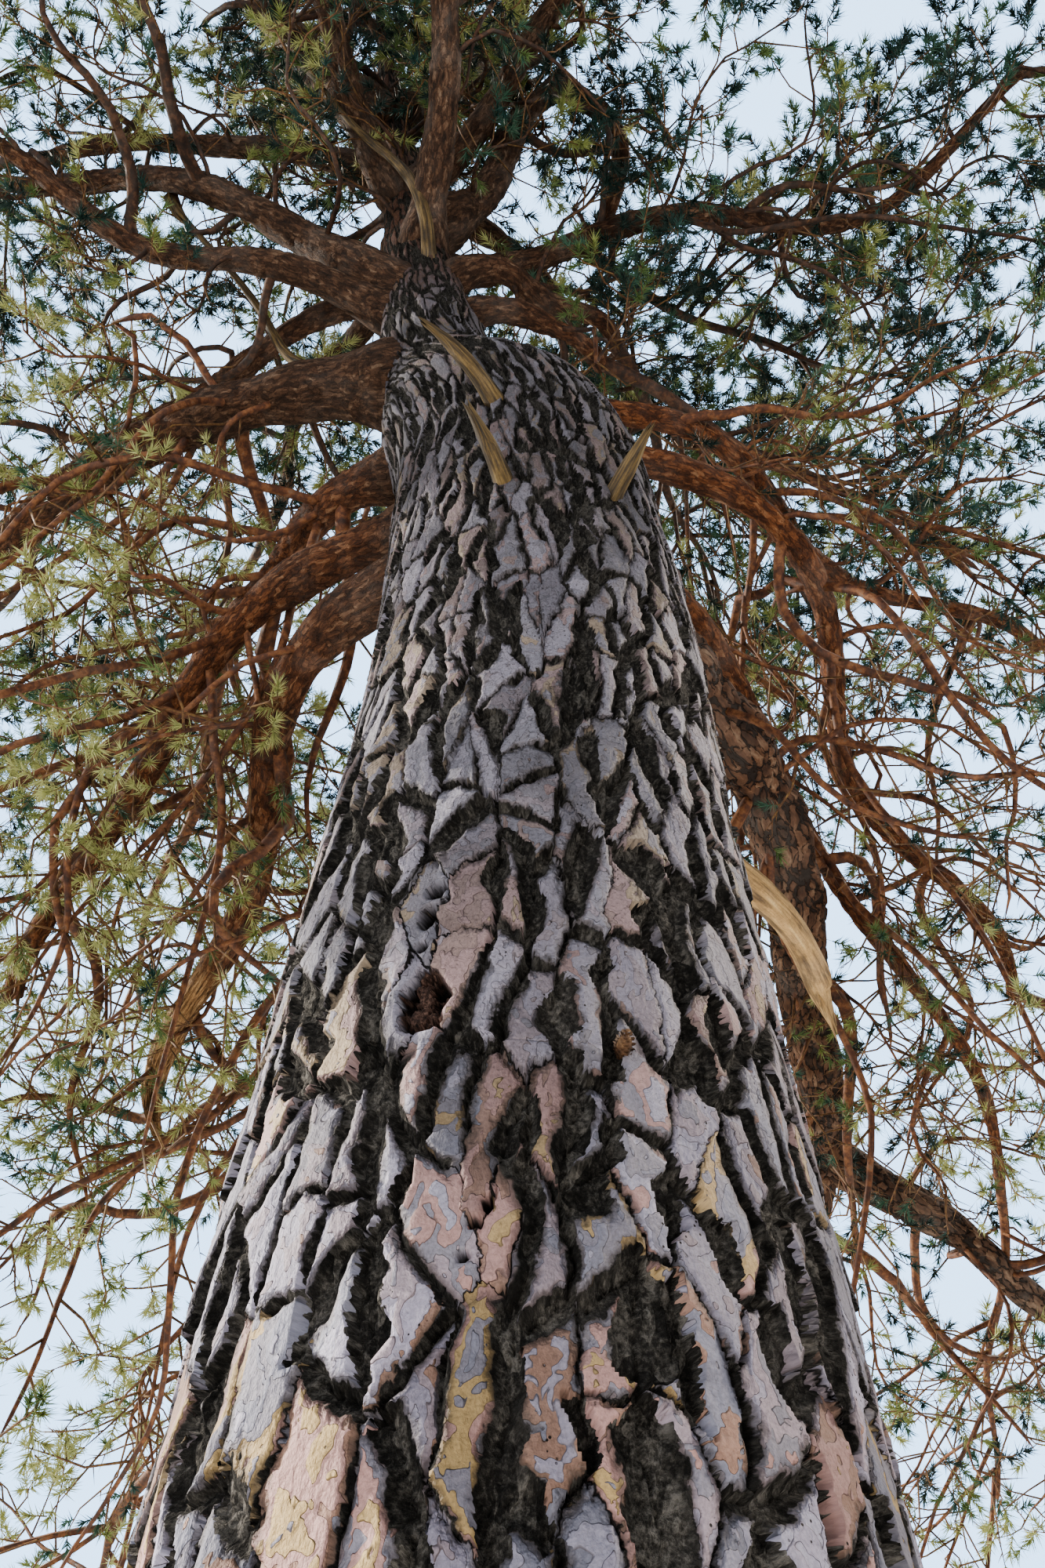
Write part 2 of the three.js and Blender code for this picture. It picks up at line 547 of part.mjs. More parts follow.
// A twig that widens into a spray: one flat plate with a narrow handle and three prongs.
function spraySolid(root, ahead, across, handle, length) {
  const half = (length * SPRAY_WIDTH) / 2;
  const normal = ahead.clone().cross(across).normalize();
  const side = (skew, sign) => [
    [0, sign * TWIG_HALF_WIDTH],
    [handle, sign * TWIG_HALF_WIDTH],
    ...[PRONG, NOTCH].map(([u, v]) => [handle + u * skew * length, sign * v * half]),
  ];
  const left = side(1, 1);
  const right = side(SPRAY_SKEW, -1).reverse();
  const outline = [...left, [handle + length, 0], ...right];
  const vertices = [];
  const count = outline.length;
  [SPRAY_THICKNESS / 2, -SPRAY_THICKNESS / 2].forEach((lift) =>
    outline.forEach(([u, v]) => {
      const p = root
        .clone()
        .addScaledVector(ahead, u)
        .addScaledVector(across, v)
        .addScaledVector(normal, lift);
      vertices.push(p.x, p.y, p.z);
    }),
  );
  const triangles = [];
  const face = (p, q, r) => triangles.push(p, r, q, p + count, q + count, r + count);
  // The handle and the core, then the prongs that stand on the core's edges.
  const [h0, h1, prong, notch, tip] = [0, 1, 2, 3, 4];
  const mirror = (i) => count - 1 - i;
  face(h0, h1, mirror(h1));
  face(h0, mirror(h1), mirror(h0));
  face(h1, notch, mirror(notch));
  face(h1, mirror(notch), mirror(h1));
  face(notch, tip, mirror(notch));
  face(h1, prong, notch);
  face(mirror(notch), mirror(prong), mirror(h1));
  for (let i = 0; i < count; i += 1) {
    const j = (i + 1) % count;
    triangles.push(i, j, j + count, i, j + count, i + count);
  }
  return solidFromTriangles(vertices, triangles);
}

// A twig with its spray, or nothing where it would leave the space or touch a limb or a spray.
function growTwig(mass, index, grown, root, ahead, clearFrom, handle, roll) {
  const length = mass.reach * SPRAY_LENGTH;
  const across = leaving(ahead, Math.PI / 2, roll);
  const half = (length * SPRAY_WIDTH) / 2;
  const at = (u, v) => root.clone().addScaledVector(ahead, u).addScaledVector(across, v);
  const sprayRoot = at(handle, 0);
  const tip = at(handle + length, 0);
  const corners = [sprayRoot, tip, at(handle + length / 2, half), at(handle + length / 2, -half)];
  if (!corners.every((corner) => inSpace(corner, index))) return null;
  if (!clearOfLimbs(root, sprayRoot, TWIG_HALF_WIDTH, [mass.name, mass.on])) return null;
  if (!clearOfLimbs(at(clearFrom, 0), sprayRoot, TWIG_HALF_WIDTH, [mass.name])) return null;
  if (!clearOfLimbs(sprayRoot, tip, half, [mass.name])) return null;
  const near = half * TWIG_SPACING;
  if (grown.some(([a, b]) => segmentDistance(sprayRoot, tip, a, b) < near)) return null;
  grown.push([sprayRoot, tip]);
  return spraySolid(root, ahead, across, handle, length);
}

// One needle mass: its stem, a spray on the stem's tip, and twigs round the stem.
function massSolid(mass, index) {
  const random = seededRandom(mass.seed);
  const stem = stems[index];
  const grown = [];
  let solid = cutByNeighbours(limbSolid(stem.line, stem.radii, 3, 0));
  const tip = alongLine(stem.line, 1);
  const sunk = tip.point.clone().addScaledVector(tip.ahead, -3 * TWIG_HALF_WIDTH);
  const tipRoll = radians(360 * random());
  const end = growTwig(mass, index, grown, sunk, tip.ahead, 0, 4 * TWIG_HALF_WIDTH, tipRoll);
  if (end) solid = solid.add(end);
  const firstRoll = 360 * random();
  for (let k = 0; k < mass.twigs; k += 1) {
    const share = TWIG_FIRST + ((TWIG_LAST - TWIG_FIRST) * (k + 0.5)) / mass.twigs;
    const roll = firstRoll + GOLDEN_ANGLE * k + TWIG_ROLL_SPREAD * (random() - 0.5);
    const angle = radians(TWIG_ANGLE + TWIG_ANGLE_SPREAD * (random() - 0.5));
    const full = mass.reach * TWIG_LENGTH * (1 - TWIG_SHORTENING * share);
    const length = full * (1 + TWIG_LENGTH_SPREAD * (random() - 0.5));
    const sprayRoll = radians(360 * random());
    const at = alongLine(stem.line, share);
    const clearFrom = stem.radii[0] + 3 * LIMB_CLEARANCE;
    let twig = null;
    for (let t = 0; t < TWIG_TRIES && !twig; t += 1) {
      const ahead = leaving(at.ahead, angle, radians(roll + TWIG_TURN * t));
      twig = growTwig(mass, index, grown, at.point, ahead, clearFrom, length, sprayRoll);
    }
    if (twig) solid = solid.add(twig);
  }
  return solid;
}

MASSES.forEach((mass, i) => addPiece(mass.name, massSolid(mass, i), "needles"));

const materials = {};
Object.entries(MATERIALS).forEach(([slot, look]) => {
  materials[slot] = new THREE.MeshStandardMaterial({
    name: slot,
    color: look.color,
    roughness: look.roughness,
    metalness: 0,
    flatShading: true,
  });
});

function meshFromSolid(name, solid, slot) {
  const made = solid.simplify(0.05).getMesh();
  const geometry = new THREE.BufferGeometry();
  geometry.setAttribute("position", new THREE.BufferAttribute(made.vertProperties, 3));
  geometry.setIndex(new THREE.BufferAttribute(made.triVerts, 1));
  geometry.computeVertexNormals();
  const mesh = new THREE.Mesh(geometry, materials[slot]);
  mesh.name = name;
  return mesh;
}

const group = new THREE.Group();
group.name = "old_pine";
pieces.forEach(({ name, solid, slot }) => group.add(meshFromSolid(name, solid, slot)));

export default group;
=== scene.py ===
# An old pine seen from under its crown: trunk, boughs, dead wood, twigs, needles and cones.
# Metres, +Z up, the trunk's flat cut at the origin. Headings run from +Y towards +X.
import math

import bpy
import numpy as np
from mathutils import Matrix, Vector


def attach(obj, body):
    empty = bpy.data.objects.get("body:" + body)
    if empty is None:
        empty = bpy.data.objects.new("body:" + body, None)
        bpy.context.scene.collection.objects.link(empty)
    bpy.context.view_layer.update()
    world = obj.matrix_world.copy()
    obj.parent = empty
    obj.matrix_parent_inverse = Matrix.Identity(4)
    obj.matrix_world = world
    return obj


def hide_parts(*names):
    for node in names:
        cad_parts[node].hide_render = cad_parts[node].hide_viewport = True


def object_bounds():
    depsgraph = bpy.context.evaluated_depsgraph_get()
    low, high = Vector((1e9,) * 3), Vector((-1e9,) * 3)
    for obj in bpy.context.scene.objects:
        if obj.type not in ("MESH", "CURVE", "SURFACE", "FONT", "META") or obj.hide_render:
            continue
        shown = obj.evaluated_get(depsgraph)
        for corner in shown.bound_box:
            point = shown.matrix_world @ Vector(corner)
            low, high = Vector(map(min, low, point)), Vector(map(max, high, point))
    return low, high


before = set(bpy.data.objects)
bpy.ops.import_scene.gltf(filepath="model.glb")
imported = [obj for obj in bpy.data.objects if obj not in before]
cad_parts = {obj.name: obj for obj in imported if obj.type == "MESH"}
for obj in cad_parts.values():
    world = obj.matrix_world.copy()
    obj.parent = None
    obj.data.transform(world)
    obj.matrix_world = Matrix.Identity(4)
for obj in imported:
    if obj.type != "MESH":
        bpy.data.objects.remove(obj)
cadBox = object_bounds()
print("frame:", len(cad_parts), "nodes")

trunk = {
    "leaderHeight": 12.7,
    "heights": [0, 1.0, 2.1, 3.9, 5.7],
    "radii": [0.6, 0.55, 0.512, 0.447, 0.425],
    "shoulderHeight": 5.75, "shoulderLength": 0.85,
    "neckRadius": 0.245, "neckHeight": 6.9,
    "leaderTipRadius": 0.022, "leaderTaper": 0.7,
    "rootFlare": 0.36, "rootFlareHeight": 0.42,
    "rootLobes": 5, "rootLobeDepth": 0.16, "rootLobeHeight": 0.67, "rootLobeTurn": 0.9,
    "flutes": 3, "fluteDepth": 0.018, "fluteTwist": 1.9,
    "leanBack": 0.085, "leanEndHeight": 6.5, "straighten": 0.018,
    "bulgeShift": 0.04, "bulgeHeight": 4.3, "bulgeSpread": 0.9,
    "neckShift": 0.38, "neckShiftStart": 5.35, "neckShiftLength": 1.6,
    "leaderLeanLeft": 0.125,
}

limbKeys = ("name", "height", "heading", "rise", "length", "turn", "bend", "sway", "lift",
            "phase", "base", "tip")
boughRows = [
    ("bough_left_main", 6.55, -84.7, 11.7, 2.61, 40.9, -3.5, 2, 0.5, 3.37, 0.118, 0.084),
    ("bough_rear_main", 5.05, 42.3, 8.5, 3.89, -40.4, -21.4, 7.6, 6.3, 5.89, 0.128, 0.112),
    ("bough_top_left", 10.2, -107.7, 48.1, 1.79, -12.1, 9.2, 3, -4.4, 5.46, 0.125, 0.105),
    ("bough_crown_left_outer", 7.4, -116.2, 37.5, 2.56, 43.2, -7.9, 6.3, -2.1, 0.43, 0.098, 0.052),
    ("bough_arch_rise", 8.3, 113.2, 59.1, 1.95, 13.1, 7.5, 27.8, 6.8, 2.62, 0.092, 0.068),
    ("bough_left_torn", 5.2, -52.1, -2.2, 3.49, 50.8, -17.3, 20.7, 0.6, 3.92, 0.084, 0.034),
    ("bough_left_lower_sweep", 5.45, -68, -0.3, 3.19, 48.2, -18.5, -11.6, 8.1, 6.18, 0.078, 0.042),
    ("bough_left_upper_sweep", 5.75, -80, 7.9, 1.86, 68.1, 6.9, 9.6, 2, 3.2, 0.074, 0.05),
    ("bough_left_drooping", 4.7, -28.9, 18.9, 3.76, 9.2, -71.9, 1.1, -14.5, 5.44, 0.07, 0.036),
    ("bough_crown_left_inner", 7.25, -86.2, 24.6, 2.51, -24.5, 0.8, 16.3, -3.2, 3.19, 0.076, 0.044),
    ("bough_crown_left_top", 9.2, -106.4, 17.6, 2.36, 35.5, -0.3, 4.6, -0.9, 4.32, 0.076, 0.046),
    ("bough_crown_left_back", 7.7, -72, 2, 2.3, 22, -3, 8.8, 0, 4.2, 0.064, 0.04),
    ("bough_right_long", 8.05, 66.2, 32.7, 4.38, 50.7, -8.6, 22.4, 2.1, 5.88, 0.072, 0.034),
    ("bough_right_inner", 7.55, 103.9, 24.4, 1.23, -79, -6.5, 25.2, -1.4, 0.55, 0.06, 0.044),
    ("bough_right_short", 7.1, 113.5, 24.9, 0.98, -87.3, -14.9, 8.4, 0.3, 0.32, 0.054, 0.038),
    ("bough_right_sweep", 6.1, 59.7, -2.4, 4.25, -44.3, -9.6, 27.5, 4.8, 0.26, 0.066, 0.034),
    ("bough_right_upper_sweep", 6.35, 62.2, 13.8, 3.51, -11.5, -10.4, -22.9, -0.9, 3.34, 0.06,
     0.034),
    ("bough_right_lower_sweep", 5.6, 44.3, 0.2, 4.41, -19.7, -24, -10.8, 10.4, 4.63, 0.054, 0.028),
    ("bough_back_left", 8.6, -35, 24, 3.1, 14, -6, 12, 4, 1.2, 0.074, 0.042),
    ("bough_back_middle", 8.25, 8, 15, 3.2, -12, -4, 14, 3, 2.9, 0.07, 0.042),
    ("bough_back_right", 9.25, 44, 20, 3.3, -10, -5, 13, 4, 0.4, 0.074, 0.042),
    ("bough_front_left", 8.8, -150, 24, 3.2, -12, -8, 12, 4, 2.2, 0.076, 0.044),
    ("bough_front_middle", 7.95, 176, 36, 3.6, 8, -30, 9, 4, 3.6, 0.084, 0.046),
    ("bough_front_right", 9.05, 134, 18, 3.3, -10, -6, 14, 4, 5.1, 0.076, 0.044),
    ("bough_top_right", 10.6, 71.2, 49.9, 1.87, 83.4, 21.9, 20.3, -7.9, 5.4, 0.084, 0.06),
]
# The second column names the bough whose end these carry on from.
forkedKeys = ("name", "from") + limbKeys[2:]
forkedRows = [
    ("bough_arch_fall", "bough_arch_rise", 76.5, -27.6, 1.23, -129.9, -3.6, 16.5, 0.8, 5.74, 0.064,
     0.042),
    ("bough_rear_outer", "bough_rear_main", 64.4, -17.2, 1.58, -19.5, 5.1, -7.9, -0.2, 1.3, 0.1,
     0.07),
    ("bough_rear_leg", "bough_rear_main", -10, -30, 0.72, 16.5, 2.9, 3.1, -0.1, 1.5, 0.076, 0.054),
]
deadRows = [
    ("dead_limb_bleached", 4.024, 53.4, 9.35, 1.968, -37, -4.8, -3.4, 1.3, 1.03, 0.056, 0.012),
    ("dead_branch_neck", 7.3, -164.6, 71.3, 2.58, 87.6, -17.7, 22.6, 4.4, 3.42, 0.04, 0.009),
    ("dead_branch_left", 7, -68.9, 19.2, 2.42, -74.8, 59.3, 10.3, -23, 5.68, 0.032, 0.008),
    ("dead_stub_front", 4.56, -178, 25, 0.704, 32.5, 0, 0, 0, 0, 0.04, 0.016),
    ("dead_stub_shoulder", 5.18, -184, 25, 0.812, 68.8, 0, 0, 0, 0, 0.042, 0.016),
    ("dead_stub_right", 4.5, 151.2, 28, 0.732, -10, 12, 0, 0, 0, 0.038, 0.014),
]
# Needle masses. leafy: share of the shoots that carry needles. tone: how blue and dark they are,
# partly the needles' own colour and partly painted shade; low tones give lighter, painted lit
# colours.
massKeys = ("name", "on", "heading", "rise", "reach", "droop", "leafy", "tone")
massRows = [
    ("needles_left_main", "bough_left_main", -72, 4, 2.6, 6, 0.7, 0.0),
    ("needles_left_upper", "bough_left_upper_sweep", -22, 2, 2.5, -10, 0.7, -0.2),
    ("needles_left_lower", "bough_left_lower_sweep", -62, -16, 2.3, -14, 0.95, -0.6),
    ("needles_left_drooping", "bough_left_drooping", -24, -2, 2, -12, 0.95, -0.6),
    ("needles_crown_left_outer", "bough_crown_left_outer", -92, 6, 2.5, 2, 0.85, 0.45),
    ("needles_crown_left_inner", "bough_crown_left_inner", -134, -4, 2.5, 4, 0.95, 0.5),
    ("needles_crown_left_top", "bough_crown_left_top", -70, 28, 2.5, -12, 0.9, 0.6),
    ("needles_crown_left_back", "bough_crown_left_back", -38, 14, 2.5, 2, 0.8, 0.35),
    ("needles_top_left", "bough_top_left", -120, 44, 2.5, -34, 0.95, 0.5),
    ("needles_right_inner", "bough_right_inner", 22, 10, 2.2, 4, 1.0, 0.4),
    ("needles_right_short", "bough_right_short", 66, -8, 2.2, -4, 1.0, 0.75),
    ("needles_arch", "bough_arch_fall", 62, 6, 2.3, 14, 1.0, 0.35),
    ("needles_right_long", "bough_right_long", 100, 14, 2.5, -8, 1.0, 0.85),
    ("needles_right_sweep", "bough_right_sweep", 66, -2, 2.4, -6, 0.85, 0.8),
    ("needles_right_upper", "bough_right_upper_sweep", 76, 8, 2.4, 2, 0.9, 0.9),
    ("needles_right_lower", "bough_right_lower_sweep", 6, -16, 2.2, -14, 0.35, 0.5),
    ("needles_rear_outer", "bough_rear_outer", 48, -18, 2.2, -18, 0.45, -0.1),
    ("needles_back_left", "bough_back_left", -24, 18, 2.6, -8, 1.0, 0.0),
    ("needles_back_middle", "bough_back_middle", -2, 12, 2.6, -8, 1.0, 0.2),
    ("needles_back_right", "bough_back_right", 36, 16, 2.6, -6, 1.0, 0.6),
    ("needles_front_left", "bough_front_left", -156, 14, 2.6, -8, 0.9, 0.0),
    ("needles_front_middle", "bough_front_middle", 178, 0, 2.6, -8, 0.9, 0.5),
    ("needles_front_right", "bough_front_right", 124, 8, 2.6, -8, 0.9, 0.6),
    ("needles_top_right", "bough_top_right", 128, 46, 2.5, -30, 1.0, 0.7),
    ("needles_top", "trunk", -40, 76, 2.1, -10, 1.0, 0.6),
]
boughs = [dict(zip(limbKeys, row)) for row in boughRows]
forkedBoughs = [dict(zip(forkedKeys, row)) for row in forkedRows]
deadWood = [dict(zip(limbKeys, row)) for row in deadRows]
masses = [dict(zip(massKeys, row), seed=seed) for seed, row in enumerate(massRows, 11)]

# Where the photograph was taken from and how it is lit.
view = {
    "place": (0.0, -1.8, 1.6), "pitch": 47.0, "lens": 18.0, "sensor": 22.3, "aspect": 1333 / 2000,
    "worldStrength": 0.40, "backdropStrength": 2.8,
}
# Name, heading, rise, strength, size in degrees and colour.
suns = [
    ("keyLight", -72.0, 28.0, 8.0, 3.0, (1.0, 0.93, 0.82)),
    ("rimLight", 72.0, 46.0, 3.0, 6.0, (1.0, 0.90, 0.78)),
    ("fillLight", -132.0, 22.0, 0.95, 22.0, (0.90, 0.94, 1.0)),
]

# The rule that the limbs and the needle masses grow by.
rule = {
    "swayWaves": 1.5, "boughSteps": 7, "forkSteps": 4, "deadSteps": 4, "stemSteps": 4,
    "joinOverlap": 0.06, "goldenAngle": 137.5,
    "stemTipRadius": 0.013, "stemStartShare": 0.97, "stemSway": 9, "stemLift": 5,
    "twigHalfWidth": 0.015, "twigFirst": 0.15, "twigLast": 0.95,
    "twigAngle": 52, "twigAngleSpread": 18, "twigRollSpread": 24,
    "twigShortening": 0.5, "twigLengthSpread": 0.3, "twigLength": 0.5,
    "twigs": 7, "twigTries": 4, "twigTurn": 67, "twigSpacing": 1.15,
    "sprayLength": 0.42, "sprayWidth": 0.6,
    "limbClearance": 0.035, "trunkRoom": 1.03, "spaceMargin": 0.025, "lowestTwig": 0.9,
}
upward = np.array([0.0, 0.0, 1.0])
camera = np.array(view["place"])
fullTurn = 6.28
goldenShare = 0.381966


def unit(v):
    return v / np.maximum(np.linalg.norm(v, axis=-1, keepdims=True), 1e-9)


def smooth(share):
    x = np.clip(share, 0, 1)
    return x * x * (3 - 2 * x)


def trunkAxis(z):
    t = trunk
    z = np.asarray(z, float)
    bulge = t["bulgeShift"] * np.exp(-((z - t["bulgeHeight"]) / t["bulgeSpread"]) ** 2)
    neck = t["neckShift"] * smooth((z - t["neckShiftStart"]) / t["neckShiftLength"])
    leader = t["leaderLeanLeft"] * np.maximum(0, z - t["neckHeight"])
    y = t["leanBack"] * z - t["straighten"] * np.maximum(0, z - t["leanEndHeight"]) ** 2
    return np.stack([bulge - neck - leader, y, z], -1)


def trunkRadius(z):
    t = trunk
    z = np.asarray(z, float)
    stem = np.interp(z, t["heights"], t["radii"])
    step = smooth((z - t["shoulderHeight"]) / t["shoulderLength"])
    shaft = stem + (t["neckRadius"] - stem) * step
    share = np.clip((z - t["neckHeight"]) / (t["leaderHeight"] - t["neckHeight"]), 0, 1)
    upper = t["neckRadius"] + (t["leaderTipRadius"] - t["neckRadius"]) * share ** t["leaderTaper"]
    return np.where(z > t["neckHeight"], upper, shaft)


# Radius of the trunk's skin at a height and an angle round it, with root lobes and flutes.
def skinRadius(z, angle):
    t = trunk
    flare = t["rootFlare"] * np.exp(-z / t["rootFlareHeight"])
    lobe = t["rootLobeDepth"] * np.exp(-z / t["rootLobeHeight"])
    lobe = lobe * np.cos(t["rootLobes"] * angle + t["rootLobeTurn"])
    flute = t["fluteDepth"] * np.cos(t["flutes"] * angle + z / t["fluteTwist"])
    return trunkRadius(z) * (1 + flare + lobe + flute)


def direction(heading, rise):
    heading, rise = np.radians(heading), np.radians(rise)
    flat = np.cos(rise)
    return np.stack([flat * np.sin(heading), flat * np.cos(heading), np.sin(rise)], -1)


# Centre line of a limb; every fourth point is one of the source's knots.
def limbLine(start, limb, steps):
    count = steps * 4
    s = (np.arange(count) + 0.5) / count
    wave = 2 * math.pi * rule["swayWaves"] * s + limb["phase"]
    heading = limb["heading"] + limb["turn"] * s + limb["sway"] * np.sin(wave)
    rise = limb["rise"] + limb["bend"] * s + limb["lift"] * np.cos(wave)
    moves = direction(heading, rise) * limb["length"] / count
    return np.vstack([start, start + np.cumsum(moves, 0)])


limbs = {}
trunkHeights = [0, 0.11, 0.26, 0.48, 0.8, 1.3, 2.1, 3.0, 3.9, 4.8, 5.4]
trunkHeights += [5.75 + 0.2 * i for i in range(7)]
trunkHeights += [6.95 + 5.75 * i / 6 for i in range(1, 7)]
trunkHeights = np.array(trunkHeights)
limbs["trunk"] = {
    "line": trunkAxis(trunkHeights),
    "radii": trunkRadius(trunkHeights) * rule["trunkRoom"],
}


def addLimb(limb, start, steps):
    fine = limbLine(start, limb, steps)
    share = np.linspace(0, 1, steps + 1)
    radii = limb["base"] + (limb["tip"] - limb["base"]) * share
    limbs[limb["name"]] = {"line": fine[::4], "radii": radii, "fine": fine}


def startInside(name, overlap):
    line = limbs[name]["line"]
    return line[-1] + unit(line[-2] - line[-1]) * overlap


for limb in boughs:
    addLimb(limb, trunkAxis(limb["height"]), rule["boughSteps"])
for limb in forkedBoughs:
    addLimb(limb, startInside(limb["from"], rule["joinOverlap"]), rule["forkSteps"])
for limb in deadWood:
    addLimb(limb, trunkAxis(limb["height"]), rule["deadSteps"])
for mass in masses:
    path = dict(mass, turn=0, sway=rule["stemSway"], lift=rule["stemLift"], phase=mass["seed"],
                length=mass["reach"], bend=mass["droop"])
    fine = limbLine(startInside(mass["on"], rule["joinOverlap"] / 2), path, rule["stemSteps"])
    carrierTip = limbs[mass["on"]]["radii"][-1]
    mass["stem"] = fine[::4]
    mass["fine"] = fine
    mass["carrierTip"] = carrierTip
    first = carrierTip * 0.9
    share = np.linspace(0, 1, rule["stemSteps"] + 1)
    mass["radii"] = first + (rule["stemTipRadius"] - first) * share
centres = np.array([(mass["stem"][2] + mass["stem"][3]) / 2 for mass in masses])
for mass in masses:
    limbs[mass["name"]] = {"line": mass["stem"], "radii": mass["radii"]}

# All limbs as straight pieces, for keeping twigs clear of them.
segmentOwner = np.concatenate([[name] * (len(limb["line"]) - 1) for name, limb in limbs.items()])
segmentFrom = np.concatenate([limb["line"][:-1] for limb in limbs.values()])
segmentTo = np.concatenate([limb["line"][1:] for limb in limbs.values()])
segmentRoom = np.concatenate(
    [np.maximum(limb["radii"][:-1], limb["radii"][1:]) for limb in limbs.values()])
print("limbs:", len(limbs), "lines,", len(segmentOwner), "straight pieces")


# Shortest distance of one straight twig to many straight pieces.
def segmentDistances(p1, q1, p2, q2):
    d1, d2, r = q1 - p1, q2 - p2, p1 - p2
    a = d1 @ d1
    e = (d2 * d2).sum(-1)
    f = (d2 * r).sum(-1)
    c = r @ d1
    b = d2 @ d1
    denominator = a * e - b * b
    s = np.where(denominator > 1e-9,
                 np.clip((b * f - c * e) / np.maximum(denominator, 1e-9), 0, 1), 0)
    t = (b * s + f) / e
    s = np.where(t < 0, np.clip(-c / a, 0, 1), np.where(t > 1, np.clip((b - c) / a, 0, 1), s))
    t = np.clip(t, 0, 1)
    return np.linalg.norm(p1 + d1 * s[:, None] - p2 - d2 * t[:, None], axis=-1)


def clearOfLimbs(start, end, radius, but):
    far = segmentDistances(start, end, segmentFrom, segmentTo)
    enough = far >= segmentRoom + radius + rule["limbClearance"]
    return bool((enough | np.isin(segmentOwner, but)).all())


# How far each of many points is from the skin of the nearest limb, apart from the named ones.
def skinDistance(points, but=(), names=None):
    chosen = ~np.isin(segmentOwner, but)
    if names is not None:
        chosen &= np.isin(segmentOwner, names)
    starts, ends, rooms = segmentFrom[chosen], segmentTo[chosen], segmentRoom[chosen]
    nearest = np.full(len(points), 1e9)
    along = ends - starts
    lengths = (along * along).sum(-1)
    for i in range(len(starts)):
        t = np.clip((points - starts[i]) @ along[i] / lengths[i], 0, 1)
        far = np.linalg.norm(points - starts[i] - t[:, None] * along[i], axis=-1) - rooms[i]
        np.minimum(nearest, far, out=nearest)
    return nearest


# True for points that lie in the space of a mass: nearer to its middle than to any other's.
def inSpace(points, index, margin):
    points = np.atleast_2d(points)
    far = np.linalg.norm(points[:, None] - centres[None], axis=-1)
    own = far[:, index] + margin
    far[:, index] = 1e9
    return (points[:, 2] >= rule["lowestTwig"]) & (far.min(1) > own)


def inBox(points, margin=0.06):
    low = np.array(cadBox[0]) - margin
    high = np.array(cadBox[1]) + margin
    low[2] = rule["lowestTwig"]
    return ((points >= low) & (points <= high)).all(-1)


# Points and directions at shares of many lines: lines (n, p, 3), shares (n, k).
def alongLines(lines, shares):
    n, p = lines.shape[:2]
    at = np.clip(shares * (p - 1), 0, p - 1.001)
    i = at.astype(int)
    rows = np.arange(n)[:, None]
    first, second = lines[rows, i], lines[rows, i + 1]
    return first + (second - first) * (at - i)[..., None], unit(second - first)


def alongLine(line, share):
    return [a[0, 0] for a in alongLines(line[None], np.array([[share]]))]


# Directions that leave others at an angle, turned round them.
def leaving(ahead, angle, roll):
    side = np.cross(upward, ahead)
    short = np.linalg.norm(side, axis=-1, keepdims=True) < 0.05
    side = unit(np.where(short, [1.0, 0, 0], side))
    up = np.cross(ahead, side)
    angle, roll = np.asarray(angle)[..., None], np.asarray(roll)[..., None]
    return (ahead * np.cos(angle) + side * np.sin(angle) * np.cos(roll)
            + up * np.sin(angle) * np.sin(roll))


def seededRandom(seed):
    state = [(seed * 7919 + 17) & 0xFFFFFFFF]

    def draw():
        state[0] = (state[0] * 1664525 + 1013904223) & 0xFFFFFFFF
        return state[0] / 4294967296

    return draw


def meshPiece(name, points, quads=None, triangles=None, fields=None, materials=(),
              materialIndex=None, rounded=True):
    quads = np.zeros((0, 4), int) if quads is None else quads
    triangles = np.zeros((0, 3), int) if triangles is None else triangles
    corners = np.concatenate([quads.ravel(), triangles.ravel()])
    starts = np.concatenate([np.arange(len(quads)) * 4,
                             len(quads) * 4 + np.arange(len(triangles)) * 3])
    mesh = bpy.data.meshes.new(name)
    mesh.vertices.add(len(points))
    mesh.vertices.foreach_set("co", np.ascontiguousarray(points, np.float32).ravel())
    mesh.loops.add(len(corners))
    mesh.loops.foreach_set("vertex_index", corners.astype(np.int32))
    mesh.polygons.add(len(starts))
    mesh.polygons.foreach_set("loop_start", starts.astype(np.int32))
    if materialIndex is not None:
        mesh.polygons.foreach_set("material_index", materialIndex.astype(np.int32))
    mesh.polygons.foreach_set("use_smooth", np.full(len(starts), rounded))
    for key, values in (fields or {}).items():
        values = np.asarray(values, np.float32)
        if values.ndim == 2:
            data = mesh.attributes.new(key, "FLOAT_VECTOR", "POINT").data
            data.foreach_set("vector", values.ravel())
        else:
            data = mesh.attributes.new(key, "FLOAT", "POINT").data
            data.foreach_set("value", values)
    mesh.update(calc_edges=True)
    for material in materials:
        mesh.materials.append(material)
    piece = bpy.data.objects.new(name, mesh)
    bpy.context.scene.collection.objects.link(piece)
    return piece


# Every piece rides the one body, and most replace a node.
def keep(piece, node=None):
    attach(piece, "root")
    if node:
        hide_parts(node)


# Faces of a skin of rings, closed by a point at each end.
def ringFaces(rings, sides):
    r, s = [a.ravel() for a in np.meshgrid(np.arange(rings - 1), np.arange(sides), indexing="ij")]
    after = (s + 1) % sides
    quads = np.stack([s, after, sides + after, sides + s], -1) + (r * sides)[:, None]
    s, after, last = s[:sides], after[:sides], (rings - 1) * sides
    fans = [np.stack([after, s, np.full(sides, rings * sides)], -1),
            np.stack([last + s, last + after, np.full(sides, rings * sides + 1)], -1)]
    return quads, np.concatenate(fans)


